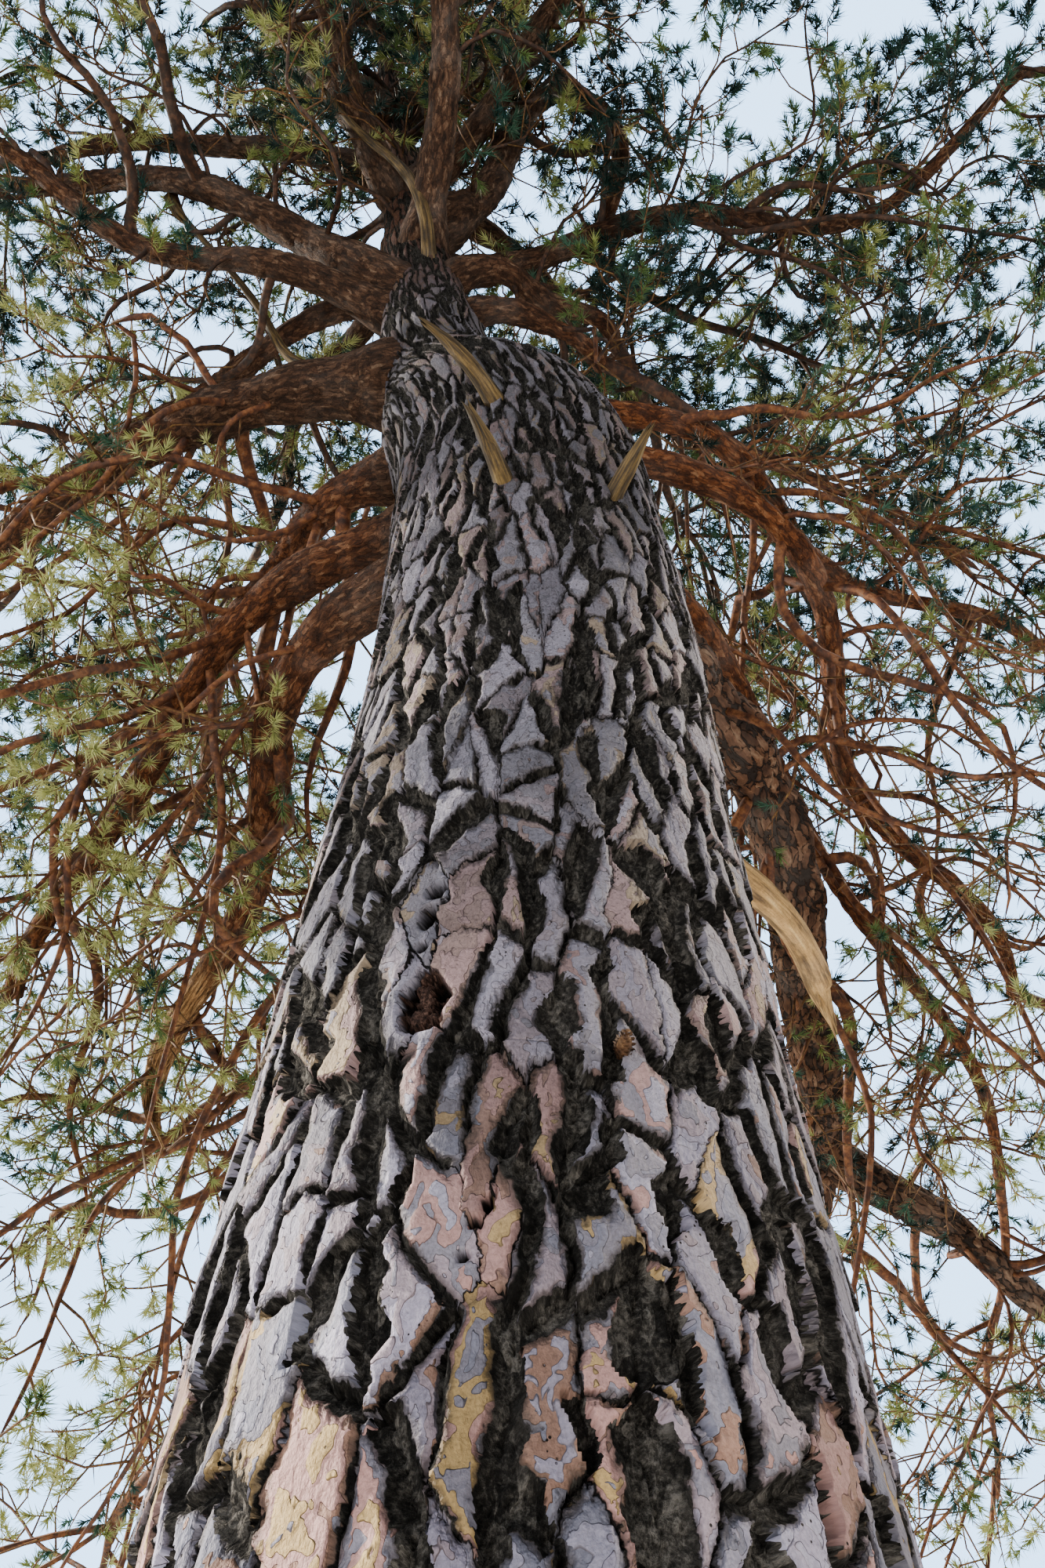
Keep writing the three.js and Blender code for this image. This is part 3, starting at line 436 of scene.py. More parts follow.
# Rings square to many lines at once, carried along them without twisting.
def sweepRings(lines, radii, sides):
    tangents = np.empty_like(lines)
    tangents[:, 1:-1] = lines[:, 2:] - lines[:, :-2]
    tangents[:, 0] = lines[:, 1] - lines[:, 0]
    tangents[:, -1] = lines[:, -1] - lines[:, -2]
    tangents = unit(tangents)
    side = np.cross(upward, tangents[:, 0])
    short = np.linalg.norm(side, axis=-1, keepdims=True) < 0.05
    side = unit(np.where(short, [1.0, 0, 0], side))
    angles = 2 * math.pi * np.arange(sides) / sides
    outward = np.empty((len(lines), lines.shape[1], sides, 3))
    for p in range(lines.shape[1]):
        tangent = tangents[:, p]
        side = unit(side - tangent * (side * tangent).sum(-1, keepdims=True))
        up = np.cross(tangent, side)
        outward[:, p] = (side[:, None] * np.cos(angles)[:, None]
                         + up[:, None] * np.sin(angles)[:, None])
    return lines[:, :, None] + outward * radii[..., None, None], outward, tangents


# Closed tubes with pointed tips, as points, quads and triangles of one mesh.
def taperedTubes(lines, radii, sides):
    n, p = lines.shape[:2]
    rings = sweepRings(lines, radii, sides)[0][:, :-1]
    points = np.concatenate([rings.reshape(n, -1, 3), lines[:, -1:]], 1)
    each = (p - 1) * sides + 1
    s = np.arange(sides)
    after = (s + 1) % sides
    ring = np.stack([s, after, after + sides, s + sides], -1)
    quads = np.concatenate([ring + r * sides for r in range(p - 2)] or [np.zeros((0, 4), int)])
    last = (p - 2) * sides
    triangles = np.stack([s + last, after + last, np.full(sides, each - 1)], -1)
    fan = np.stack([np.zeros(sides - 2, int), s[2:], s[1:-1]], -1)
    triangles = np.concatenate([triangles, fan])
    base = (np.arange(n) * each)[:, None, None]
    return (points.reshape(-1, 3), (quads[None] + base).reshape(-1, 4),
            (triangles[None] + base).reshape(-1, 3))


def joinParts(parts):
    points, quads, triangles, offset = [], [], [], 0
    for p, q, t in parts:
        points.append(p)
        quads.append(q + offset)
        triangles.append(t + offset)
        offset += len(p)
    return np.concatenate(points), np.concatenate(quads), np.concatenate(triangles)


# A line through the given points, with a point about every spacing.
def smoothLine(points, spacing):
    length = np.linalg.norm(np.diff(points, axis=0), axis=-1).sum()
    count = max(4, int(round(length / spacing)))
    at = np.linspace(0, len(points) - 1, count + 1)
    i = np.clip(at.astype(int), 0, len(points) - 2)
    t = (at - i)[:, None]
    padded = np.vstack([2 * points[0] - points[1], points, 2 * points[-1] - points[-2]])
    a, b, c, d = padded[i], padded[i + 1], padded[i + 2], padded[i + 3]
    return 0.5 * (2 * b + (c - a) * t + (2 * a - 5 * b + 4 * c - d) * t ** 2
                  + (3 * b - a - 3 * c + d) * t ** 3)


def linear(hexColor):
    values = [int(hexColor[i:i + 2], 16) / 255 for i in (0, 2, 4)]
    return tuple(v / 12.92 if v <= 0.04045 else ((v + 0.055) / 1.055) ** 2.4 for v in values) + (1,)


# An output of a node that can be reckoned with, each step a node more.
class Field:
    def __init__(self, socket):
        self.socket, self.tree = socket, socket.id_data

    def __add__(self, other):
        return maths("ADD", self, other)

    def __sub__(self, other):
        return maths("SUBTRACT", self, other)

    def __rsub__(self, other):
        return maths("SUBTRACT", other, self)

    def __mul__(self, other):
        return maths("MULTIPLY", self, other)


# Links fields to a node's inputs and sets plain values and colours on them.
def plug(node, inputs):
    for key, value in inputs.items():
        socket = node.inputs[key]
        if isinstance(value, Field):
            value.tree.links.new(value.socket, socket)
        elif socket.type == "RGBA" and isinstance(value, str):
            socket.default_value = linear(value)
        else:
            socket.default_value = value


def addNode(tree, kind, inputs=None, **settings):
    node = tree.nodes.new(kind)
    for key, value in settings.items():
        setattr(node, key, value)
    plug(node, inputs or {})
    return node


def fieldOf(tree, kind, inputs=None, output=0, **settings):
    return Field(addNode(tree, kind, inputs, **settings).outputs[output])


def named(node):
    return {socket.name: Field(socket) for socket in node.outputs}


def maths(operation, *values):
    tree = next(value.tree for value in values if isinstance(value, Field))
    return fieldOf(tree, "ShaderNodeMath", dict(enumerate(values)), operation=operation)


def timesPlus(a, b, c):
    return maths("MULTIPLY_ADD", a, b, c)


def vectors(operation, *values):
    output = "Value" if operation in ("LENGTH", "DOT_PRODUCT") else 0
    return fieldOf(values[0].tree, "ShaderNodeVectorMath", dict(enumerate(values)), output,
                   operation=operation)


def stretched(vector, scale):
    return vectors("MULTIPLY", vector, scale)


def scaled(vector, factor):
    return fieldOf(vector.tree, "ShaderNodeVectorMath", {0: vector, "Scale": factor},
                   operation="SCALE")


# Noise, drawn out along the third coordinate where along is less than 1.
def noise(vector, scale, detail=2.0, roughness=0.5, distortion=0.0, output="Fac", along=1.0):
    if along != 1.0:
        vector = stretched(vector, (1.0, 1.0, along))
    inputs = {"Vector": vector, "Scale": scale, "Detail": detail, "Roughness": roughness,
              "Distortion": distortion}
    return fieldOf(vector.tree, "ShaderNodeTexNoise", inputs, output)


def cells(vector, scale, feature="F1", dimensions="3D"):
    return named(addNode(vector.tree, "ShaderNodeTexVoronoi", {"Vector": vector, "Scale": scale},
                         feature=feature, voronoi_dimensions=dimensions))


def splitVector(vector):
    return list(named(addNode(vector.tree, "ShaderNodeSeparateXYZ", {0: vector})).values())


def soften(value, low, high, outLow=0.0, outHigh=1.0):
    inputs = {"Value": value, "From Min": low, "From Max": high, "To Min": outLow,
              "To Max": outHigh}
    return fieldOf(value.tree, "ShaderNodeMapRange", inputs, interpolation_type="SMOOTHSTEP")


def mixed(factor, a, b):
    return fieldOf(factor.tree, "ShaderNodeMix", {0: factor, 6: a, 7: b}, 2, data_type="RGBA")


def banded(value, stops, interpolation="LINEAR"):
    node = addNode(value.tree, "ShaderNodeValToRGB", {0: value})
    node.color_ramp.interpolation = interpolation
    elements = node.color_ramp.elements
    while len(elements) < len(stops):
        elements.new(1.0)
    for element, (position, color) in zip(elements, stops):
        element.position = position
        element.color = linear(color)
    return Field(node.outputs[0])


# A vector moved about by noise, which is read at another place where one is given.
def shiftedBy(vector, scale, amount, detail=2.0, place=None):
    wander = noise(place or vector, scale, detail, output="Color")
    return vectors("ADD", vector, stretched(vectors("SUBTRACT", wander, (0.5, 0.5, 0.5)), amount))


# Plates of the trunk's bark, in metres of the stretched coordinates of the field barkPoint.
trunkBark = {
    "plateWidth": 0.100, "plateHeight": 0.24, "endWeight": 1.5,
    "swirl": (0.12, 0.14, 0.0), "ragged": (0.036, 0.046, 0.0), "frayed": (0.014, 0.016, 0.0),
    "gapNarrow": -0.005, "gapWide": 0.037, "streaks": 0.056,
    "layerStep": 0.0012, "layers": 8.0, "flakes": 6.0,
    "firstShrink": 0.215, "referenceShrink": 1.11, "lengthScale": 1.32, "stretchHeight": 20.0,
    "upperShrink": 0.22, "upperFrom": 3.9, "upperLength": 1.6,
    "tilt": 0.018, "shingle": 0.25, "reliefPower": 0.7, "reliefScale": 1.35,
    "insectHoles": 62.0, "upperGap": 0.007,
}
# Holes and the torn patch: height, angle round the trunk, half width, half height, depth.
trunkHoles = [
    (3.060, -109.0, 0.020, 0.024, 0.045),
    (2.995, -110.1, 0.018, 0.034, 0.045),
    (2.921, -110.5, 0.013, 0.013, 0.030),
    (2.397, -97.1, 0.011, 0.011, 0.018),
    (2.352, -98.6, 0.009, 0.010, 0.016),
    (2.425, -95.2, 0.008, 0.012, 0.014),
]
tornPatch = (2.806, -108.8, 0.046, 0.066, 0.022)
knot = (5.030, -70.5, 0.052, 0.060, 0.016)
# Plates that these lie in, the same way.
holedPlates = [(2.925, -109.6, 0.075, 0.25), (2.395, -97.0, 0.062, 0.12)]


# How much finer the plates are than the sizes above at a height, round the trunk and along it.
def barkShrink(z):
    bark = trunkBark
    further = bark["upperShrink"] * smooth((z - bark["upperFrom"]) / bark["upperLength"])
    return (1 + bark["firstShrink"] * z) / bark["referenceShrink"] * (1 + further)


def barkStretch(z):
    return trunkBark["lengthScale"] * np.exp(-z / trunkBark["stretchHeight"])


def barkCoordinates(z, angle):
    radius = skinRadius(z, angle) * barkShrink(z)
    along = (trunkBark["lengthScale"] - barkStretch(z)) * trunkBark["stretchHeight"]
    return np.stack([radius * np.cos(angle), radius * np.sin(angle), along], -1)


# How far out of a spot on the bark a point is, as a share of the spot's half size.
def spotDistance(point, spot):
    z, angle, halfWidth, halfHeight = spot[:4]
    angle = math.radians(angle)
    centre = barkCoordinates(np.array(z), np.array(angle))
    across, along = halfWidth * float(barkShrink(z)), halfHeight * float(barkStretch(z))
    offset = vectors("SUBTRACT", point, tuple(centre))
    scale = (1 / across, 1 / across, 1 / along)
    return vectors("LENGTH", stretched(offset, scale))


def holeMask(point, hole, inner, outer):
    return soften(spotDistance(point, hole), inner, outer, 1.0, 0.0)


# Distance to the edge between the nearest two plates, in metres, and what that edge is like.
def plateEdges(sheet):
    bark = trunkBark
    width, height = bark["plateWidth"], bark["plateHeight"]
    cellPoint = stretched(sheet, (1 / width, 1 / height, 0.0))
    first = cells(cellPoint, 1.0, "F1", "2D")
    second = cells(cellPoint, 1.0, "F2", "2D")
    apart = vectors("SUBTRACT", first["Position"], second["Position"])
    between = vectors("ADD", first["Position"], second["Position"])
    middle = stretched(between, (0.5, 0.5, 0.5))
    offset = vectors("SUBTRACT", cellPoint, middle)
    ahead = vectors("DOT_PRODUCT", offset, apart)
    across = stretched(apart, (1 / width, 1 / (height * bark["endWeight"]), 0.0))
    far = maths("DIVIDE", ahead, vectors("LENGTH", across))
    upright = maths("ABSOLUTE", splitVector(vectors("NORMALIZE", across))[0])
    # Each plate stands up towards a side of its own, most of them at the lower end.
    lean = vectors("SUBTRACT", first["Color"], (0.5, 0.5 + bark["shingle"], 0.5))
    away = vectors("SUBTRACT", cellPoint, first["Position"])
    tilt = vectors("DOT_PRODUCT", lean, away)
    both = vectors("ADD", first["Color"], second["Color"])
    chance = maths("FRACT", splitVector(both)[0] * 7.31)
    return far, upright, chance, first["Color"], tilt


def trunkBarkShape(point):
    bark = trunkBark
    x, y, z = splitVector(point)[:3]
    # The sheet is open along the back, where a furrow hides the joint.
    radius = vectors("LENGTH", stretched(point, (1.0, 1.0, 0.0)))
    around = maths("ARCTAN2", x, y * -1.0)
    around = around * radius
    sheet = fieldOf(point.tree, "ShaderNodeCombineXYZ", {0: around, 1: z})
    sheet = shiftedBy(sheet, 3.6, bark["swirl"], 1.0, point)
    # The mesh is too coarse for the finest fraying, which only colour and bump get.
    carved = point.tree.type == "GEOMETRY"
    sheet = shiftedBy(sheet, 19.0, bark["ragged"], 0.0 if carved else 2.0, point)
    if not carved:
        sheet = shiftedBy(sheet, 90.0, bark["frayed"], 2.0, point)
    far, upright, chance, cell, tilt = plateEdges(sheet)
    joint = radius * math.pi
    joint = joint - maths("ABSOLUTE", around)
    # Some furrows are wide and most cracks at the ends of the plates are narrow.
    wide = soften(chance, 0.10, 0.75, bark["gapNarrow"], bark["gapWide"])
    broad = soften(noise(point, 2.6, 1.0), 0.35, 0.65, 0.6, 1.25)
    broad = broad * soften(z, 3.0, 5.1, 1.0, 1.2)
    ends = soften(upright, 0.35, 0.95, 0.35, 1.0)
    gap = wide * broad * ends
    streak = noise(point, 10.0, 4.0, 0.65, along=0.32)
    inside = maths("MINIMUM", far, joint) - gap
    worn = (streak - 0.52) * soften(z, 2.6, 4.9, bark["streaks"], 1.9 * bark["streaks"])
    inside = inside + worn
    inside = inside - soften(z, 4.6, 6.4, 0.0, bark["upperGap"])
    bent = shiftedBy(point, 16.0, (0.06, 0.06, 0.05), 2.0)
    for spot in holedPlates:
        around = 1.0 - spotDistance(bent, spot)
        inside = maths("MAXIMUM", inside, around * spot[2])
    plate = soften(inside, 0.001, 0.004)
    mass = soften(inside, -0.020, 0.006)
    moat = soften(inside, -0.016, -0.001)
    crack = soften(timesPlus(streak, 0.012, far), 0.0065, 0.009, 1.0, 0.0)
    layers = noise(bent, 12.0, 2.0, 0.55, 0.4, along=0.8)
    stepped = timesPlus(soften(inside, 0.0, 0.03), 1.0, layers * bark["layers"])
    level = maths("FLOOR", stepped)
    part = maths("FRACT", stepped)
    rim = soften(part, 0.0, 0.075, 1.0, 0.0)
    # Thin flakes lie over the layers, shorter than they are wide.
    chips = noise(bent, 24.0, 2.0, 0.6, 0.8, along=1.5)
    chips = chips * bark["flakes"]
    chipLevel = maths("FLOOR", chips)
    chipEdge = soften(maths("FRACT", chips), 0.0, soften(z, 2.6, 4.5, 0.10, 0.24), 1.0, 0.0)
    grit = noise(point, 58.0, 4.0, 0.62, along=0.6)
    rubble = cells(stretched(bent, (1.0, 1.0, 0.5)), 36.0)
    ragged = shiftedBy(point, 60.0, (0.011, 0.011, 0.011), 1.0)
    pits = holeMask(ragged, trunkHoles[0], 0.75, 1.0)
    for hole in trunkHoles[1:]:
        pits = maths("MAXIMUM", pits, holeMask(ragged, hole, 0.75, 1.0))
    torn = holeMask(bent, tornPatch, 0.90, 1.0)
    # Height of the bark over the trunk's skin, in metres.
    top = timesPlus(tilt, bark["tilt"], level * bark["layerStep"])
    low = timesPlus(grit, 0.022, -0.022)
    low = timesPlus(rubble["Distance"], -0.006, low)
    low = timesPlus(moat, soften(z, 3.7, 5.1, -0.007, 0.0), low)
    height = timesPlus(top - low, mass, low)
    height = timesPlus(crack, -0.009, height)
    height = timesPlus(pits, -0.04, height)
    # A knot: a closed ring of bark round a hollow.
    ring = spotDistance(bent, knot)
    hollow = soften(ring, 0.30, 0.62, 1.0, 0.0)
    swelling = soften(ring, 0.75, 1.30, 1.0, 0.0)
    height = timesPlus(swelling, knot[4], height)
    height = timesPlus(hollow, -2.4 * knot[4], height)
    tornDepth = soften(noise(ragged, 30.0, 2.0), 0.40, 0.56, -0.042, -0.010)
    height = timesPlus(torn, tornDepth, height)
    return {"tornDepth": tornDepth, "plate": plate, "inside": inside, "crack": crack,
            "level": level, "rim": rim,
            "cell": cell, "grit": grit, "pits": pits, "torn": torn, "height": height,
            "bent": bent, "moat": moat, "rubble": rubble, "chipLevel": chipLevel,
            "chipEdge": chipEdge, "streak": streak, "tilt": tilt, "hollow": hollow}


# Flakes of the boughs' bark: barkPoint is round the limb and along it.
boughBark = {"flakeWidth": 0.014, "flakeLength": 0.036, "depth": 0.006}


def boughBarkShape(point):
    bark = boughBark
    bent = shiftedBy(point, 12.0, (0.03, 0.03, 0.07), 2.0)
    bent = shiftedBy(bent, 80.0, (0.008, 0.008, 0.016), 3.0)
    scale = (1 / bark["flakeWidth"], 1 / bark["flakeWidth"], 1 / bark["flakeLength"])
    cellPoint = stretched(bent, scale)
    edge = cells(cellPoint, 1.0, "DISTANCE_TO_EDGE")["Distance"]
    cell = cells(cellPoint, 1.0)["Color"]
    streak = noise(bent, 60.0, 4.0, 0.68, along=0.30)
    inside = timesPlus(streak, 0.8, -0.44)
    inside = inside + edge
    plate = soften(inside, -0.01, 0.07)
    lumps = noise(point, 9.0, 2.0, along=0.5)
    height = timesPlus(plate, bark["depth"], -0.8 * bark["depth"])
    height = timesPlus(lumps, 3 * bark["depth"], height)
    height = height - 1.5 * bark["depth"]
    return {"plate": plate, "cell": cell, "streak": streak, "height": height, "bent": bent}


# Grooves of weathered dead wood, along the grain.
def deadWoodShape(point):
    grooves = noise(point, 70.0, 3.0, 0.6, along=0.07)
    height = timesPlus(grooves, 0.010, -0.005)
    return {"grooves": grooves, "height": height}


# A modifier that lifts a mesh along its field outward by one of the shapes above.
def reliefGroup(name, shape):
    tree = bpy.data.node_groups.new(name, "GeometryNodeTree")
    for way in ("INPUT", "OUTPUT"):
        tree.interface.new_socket("Geometry", in_out=way, socket_type="NodeSocketGeometry")
    source = fieldOf(tree, "NodeGroupInput")
    point, outward, depth = [
        fieldOf(tree, "GeometryNodeInputNamedAttribute", {"Name": key}, "Attribute", data_type=kind)
        for key, kind in (("barkPoint", "FLOAT_VECTOR"), ("outward", "FLOAT_VECTOR"),
                          ("barkDepth", "FLOAT"))]
    offset = scaled(outward, shape(point)["height"] * depth)
    lifted = fieldOf(tree, "GeometryNodeSetPosition", {"Geometry": source, "Offset": offset})
    plug(tree.nodes.new("NodeGroupOutput"), {0: lifted})
    return tree


def applyRelief(piece, group):
    modifier = piece.modifiers.new("relief", "NODES")
    modifier.node_group = group
    graph = bpy.context.evaluated_depsgraph_get()
    shaped = bpy.data.meshes.new_from_object(piece.evaluated_get(graph))
    piece.modifiers.clear()
    piece.data = shaped
    return piece


def newMaterial(name, roughness=0.8):
    material = bpy.data.materials.new(name)
    material.use_nodes = True
    tree = material.node_tree
    tree.nodes.clear()
    shader = addNode(tree, "ShaderNodeBsdfPrincipled", {"Roughness": roughness})
    addNode(tree, "ShaderNodeOutputMaterial", {0: Field(shader.outputs[0])})
    return material, tree, shader


def shaderGroup(name, inputs, outputs, fill):
    group = bpy.data.node_groups.new(name, "ShaderNodeTree")
    for way, sockets in (("INPUT", inputs), ("OUTPUT", outputs)):
        for key, kind in sockets.items():
            group.interface.new_socket(key, in_out=way, socket_type="NodeSocket" + kind)
    given = named(group.nodes.new("NodeGroupInput"))
    plug(group.nodes.new("NodeGroupOutput"), fill(given))
    return group


# Weathering that every bark and dead wood gets: grey dust and dark damp in broad clouds.
def fillWeathering(given):
    cloud = noise(given["Point"], 5.0, 4.0, 0.6)
    fine = noise(given["Point"], 130.0, 3.0, 0.6)
    dusty = soften(cloud, 0.45, 0.75)
    dusty = dusty * given["Dust"]
    color = mixed(dusty, given["Color"], "A39C98")
    damp = soften(cloud, 0.28, 0.46, 1.0, 0.0)
    damp = damp * given["Damp"]
    color = mixed(damp, color, "241F1C")
    speckle = soften(fine, 0.3, 0.7, 0.86, 1.12)
    return {"Color": scaled(color, speckle), "Fine": fine}


weathering = shaderGroup(
    "weathering", {"Point": "Vector", "Color": "Color", "Dust": "Float", "Damp": "Float"},
    {"Color": "Color", "Fine": "Float"}, fillWeathering)


def weather(point, color, dust, damp):
    inputs = {"Point": point, "Color": color, "Dust": dust, "Damp": damp}
    return named(addNode(point.tree, "ShaderNodeGroup", inputs, node_tree=weathering))


def readField(tree, key):
    return named(addNode(tree, "ShaderNodeAttribute", attribute_name=key))


def bumped(height):
    return fieldOf(height.tree, "ShaderNodeBump",
                   {"Height": height, "Distance": 1.0, "Strength": 1.0})


def makeTrunkMaterial():
    material, tree, shader = newMaterial("trunkBark", 0.9)
    point = readField(tree, "barkPoint")["Vector"]
    upper = readField(tree, "upper")["Fac"]
    shape = trunkBarkShape(point)
    cellPick = splitVector(shape["cell"])
    pick = timesPlus(shape["level"], goldenShare, cellPick[0])
    pick = maths("FRACT", pick)
    plates = banded(pick, [
        (0.0, "7E7B86"), (0.18, "9590A0"), (0.32, "A0817D"), (0.43, "7C7C8A"), (0.56, "948891"),
        (0.70, "A38C66"), (0.77, "9895A5"), (0.90, "8E7266")], "CONSTANT")
    height = splitVector(point)[2]
    paler = soften(height, 2.6, 4.0, 0.0, 0.5)
    plates = mixed(paler, plates, "8A8790")
    shade = soften(cellPick[1], 0.0, 1.0, 0.78, 1.16)
    plates = scaled(plates, shade)
    flaky = noise(shape["bent"], 60.0, 3.0, 0.6, along=0.3)
    orange = banded(flaky, [(0.3, "54301F"), (0.5, "7E4A2E"), (0.62, "94694A"), (0.75, "7D685B")])
    plates = mixed(soften(upper, 0.0, 1.0, 0.0, 0.85), plates, orange)
    # Painted shadow: dark lines along the edges of the flake steps.
    rimShade = shape["rim"] * 0.62
    plates = mixed(rimShade, plates, "2E2622")
    # Painted shadow along the edges of the small flakes, which shows more the higher the bark.
    chipShade = shape["chipEdge"] * soften(height, 2.6, 4.2, 0.22, 0.60)
    plates = mixed(chipShade, plates, "2E2622")
    # Painted shade and dirt: a dark band just inside the plates' edges.
    edgeShadeAndDirt = soften(shape["inside"], 0.0, 0.020, 0.80, 0.0)
    plates = mixed(edgeShadeAndDirt, plates, "3A332F")
    # Painted shadow: the cracks between the plates are near black.
    crackShade = shape["crack"] * soften(height, 3.5, 5.1, 1.0, 0.8)
    plates = mixed(crackShade, plates, "0E0B0A")
    coarse = noise(point, 95.0, 5.0, 0.75)
    chips = splitVector(shape["rubble"]["Color"])[0]
    chipped = timesPlus(chips, 0.22, coarse)
    ridges = noise(shape["bent"], 34.0, 4.0, 0.7, along=0.35)
    chipped = timesPlus(ridges, 0.5, chipped - 0.25)
    matrix = banded(chipped, [(0.38, "0F0E0D"), (0.54, "2C2A28"), (0.66, "54514D"),
                              (0.80, "84807B")])
    # Painted shadow: a near-black band in the furrow right beside the plates' edges.
    moatShade = shape["moat"] * soften(height, 3.5, 5.1, 0.6, 0.45)
    matrix = mixed(moatShade, matrix, "080706")
    color = mixed(shape["plate"], matrix, plates)
    # Painted shade: the small insect holes are dark dots.
    dots = cells(point, trunkBark["insectHoles"])["Distance"]
    dots = soften(dots, 0.11, 0.16, 1.0, 0.0)
    bitten = soften(noise(point, 6.5, 1.0), 0.58, 0.66)
    dots = dots * bitten
    color = mixed(dots, color, "1A1310")
    crumbs = banded(coarse, [(0.38, "150E0C"), (0.50, "513A32"), (0.66, "96776B")])
    # Painted shade: the torn patch is darker where it is deeper.
    crumbs = mixed(soften(shape["tornDepth"], -0.036, -0.016, 0.85, 0.0), crumbs, "0D0908")
    color = mixed(shape["torn"], color, crumbs)
    # Painted shade: the holes are near black inside.
    color = mixed(shape["pits"], color, "0C0807")
    # Painted shade: the knot's hollow is darkened.
    color = mixed(shape["hollow"] * 0.8, color, "1C130D")
    # Painted shade: the bark is darker the higher it is, where the crown shades it.
    crownShade = soften(height, 2.4, 4.4, 1.20, 0.86) * soften(height, 4.4, 6.2, 1.0, 0.64)
    color = scaled(color, crownShade)
    weathered = weather(point, color, 0.08, 0.25)
    rough = soften(shape["plate"], 0.0, 1.0, 0.97, 0.72)
    fine = timesPlus(shape["grit"], 0.005, weathered["Fine"] * 0.0014)
    gritHeight = timesPlus(ridges, 0.030, coarse * 0.016)
    loose = 1.0 - shape["plate"]
    loose = maths("MAXIMUM", loose, shape["torn"])
    height = timesPlus(gritHeight, loose, fine)
    stepHeight = shape["level"] * (trunkBark["layerStep"] * 3.0)
    stepHeight = timesPlus(shape["chipLevel"], 0.0022, stepHeight)
    stepHeight = timesPlus(shape["tilt"], trunkBark["tilt"] * 1.5, stepHeight)
    stepHeight = timesPlus(shape["rim"], -0.0024, stepHeight)
    rounding = soften(shape["inside"], 0.0, 0.024, 0.0, 0.008)
    stepHeight = stepHeight + rounding
    stepHeight = timesPlus(shape["crack"], -0.006, stepHeight)
    height = timesPlus(stepHeight, shape["plate"], height)
    height = timesPlus(dots, -0.004, height)
    plug(shader, {"Base Color": weathered["Color"], "Roughness": rough, "Normal": bumped(height),
                  "Specular IOR Level": 0.3})
    return material


def makeBoughMaterial():
    material, tree, shader = newMaterial("boughBark", 0.85)
    point = readField(tree, "barkPoint")["Vector"]
    age = readField(tree, "age")["Fac"]
    shape = boughBarkShape(point)
    tint = splitVector(shape["cell"])[0]
    blend = timesPlus(tint, 0.22, shape["streak"])
    blend = blend - 0.11
    young = banded(blend, [(0.26, "2E1B12"), (0.44, "553220"), (0.60, "7B4E33"), (0.78, "98775B")])
    old = banded(blend, [(0.26, "1B130F"), (0.44, "372A22"), (0.60, "514136"), (0.78, "786A5E")])
    color = mixed(age, young, old)
    # Painted shade: the grooves between the flakes are darkened, more on rough bark.
    groove = soften(shape["plate"], 0.0, 0.9, 1.0, 0.0)
    rough = readField(tree, "rough")["Fac"]
    groove = groove * soften(rough, 0.0, 1.0, 0.30, 0.95)
    color = mixed(groove, color, "1C1310")
    fibre = noise(point, 150.0, 3.0, 0.6, along=0.05)
    wood = banded(fibre, [(0.32, "4A3626"), (0.46, "8E6C4C"), (0.60, "BC9870"), (0.76, "D4BC9C")])
    color = mixed(readField(tree, "bare")["Fac"], color, wood)
    weathered = weather(point, color, 0.15, 0.3)
    height = shape["streak"] * 0.007
    height = timesPlus(shape["plate"], soften(rough, 0.0, 1.0, 0.003, 0.010), height)
    height = timesPlus(weathered["Fine"], 0.0012, height)
    plug(shader, {"Base Color": weathered["Color"], "Normal": bumped(height),
                  "Specular IOR Level": 0.3,
                  "Roughness": soften(shape["streak"], 0.3, 0.7, 0.72, 0.92)})
    return material


def makeDeadMaterial(name, stops, dust, stained):
    material, tree, shader = newMaterial(name, 0.8)
    point = readField(tree, "barkPoint")["Vector"]
    shape = deadWoodShape(point)
    grain = noise(point, 150.0, 3.0, 0.6, along=0.05)
    both = timesPlus(shape["grooves"], 0.6, grain * 0.4)
    color = banded(both, stops)
    streaks = noise(point, 26.0, 3.0, 0.65, along=0.16)
    stains = soften(streaks, 0.50, 0.64, 0.0, 1.0) * stained
    color = mixed(stains, color, "3A2B1D")
    weathered = weather(point, color, dust, 0.35)
    height = timesPlus(grain, 0.003, shape["grooves"] * 0.004)
    plug(shader, {"Base Color": weathered["Color"], "Roughness": soften(grain, 0.3, 0.7, 0.65, 0.9),
                  "Normal": bumped(height)})
    return material


def makeTwigMaterial(name, stops, scale):
    material, tree, shader = newMaterial(name, 0.8)
    place = fieldOf(tree, "ShaderNodeNewGeometry", None, "Position")
    patches = noise(place, scale, 3.0, 0.6)
    weathered = weather(place, banded(patches, stops), 0.1, 0.2)
    plug(shader, {"Base Color": weathered["Color"],
                  "Roughness": soften(patches, 0.3, 0.7, 0.65, 0.85),
                  "Normal": bumped(patches * 0.004)})
    return material


# Needles: one plain colour each, dealt out by spray, with a slight unevenness of the gloss. The
# colours run from shaded dark blue green to lit yellow green: partly the needles' own colour,
# partly painted light and shade.
def makeNeedleMaterial(name, color):
    material, tree, shader = newMaterial(name, 0.5)
    uneven = noise(fieldOf(tree, "ShaderNodeNewGeometry", None, "Position"), 8.0)
    plug(shader, {"Base Color": color, "Specular IOR Level": 0.35,
                  "Roughness": soften(uneven, 0.3, 0.7, 0.42, 0.62)})
    return material


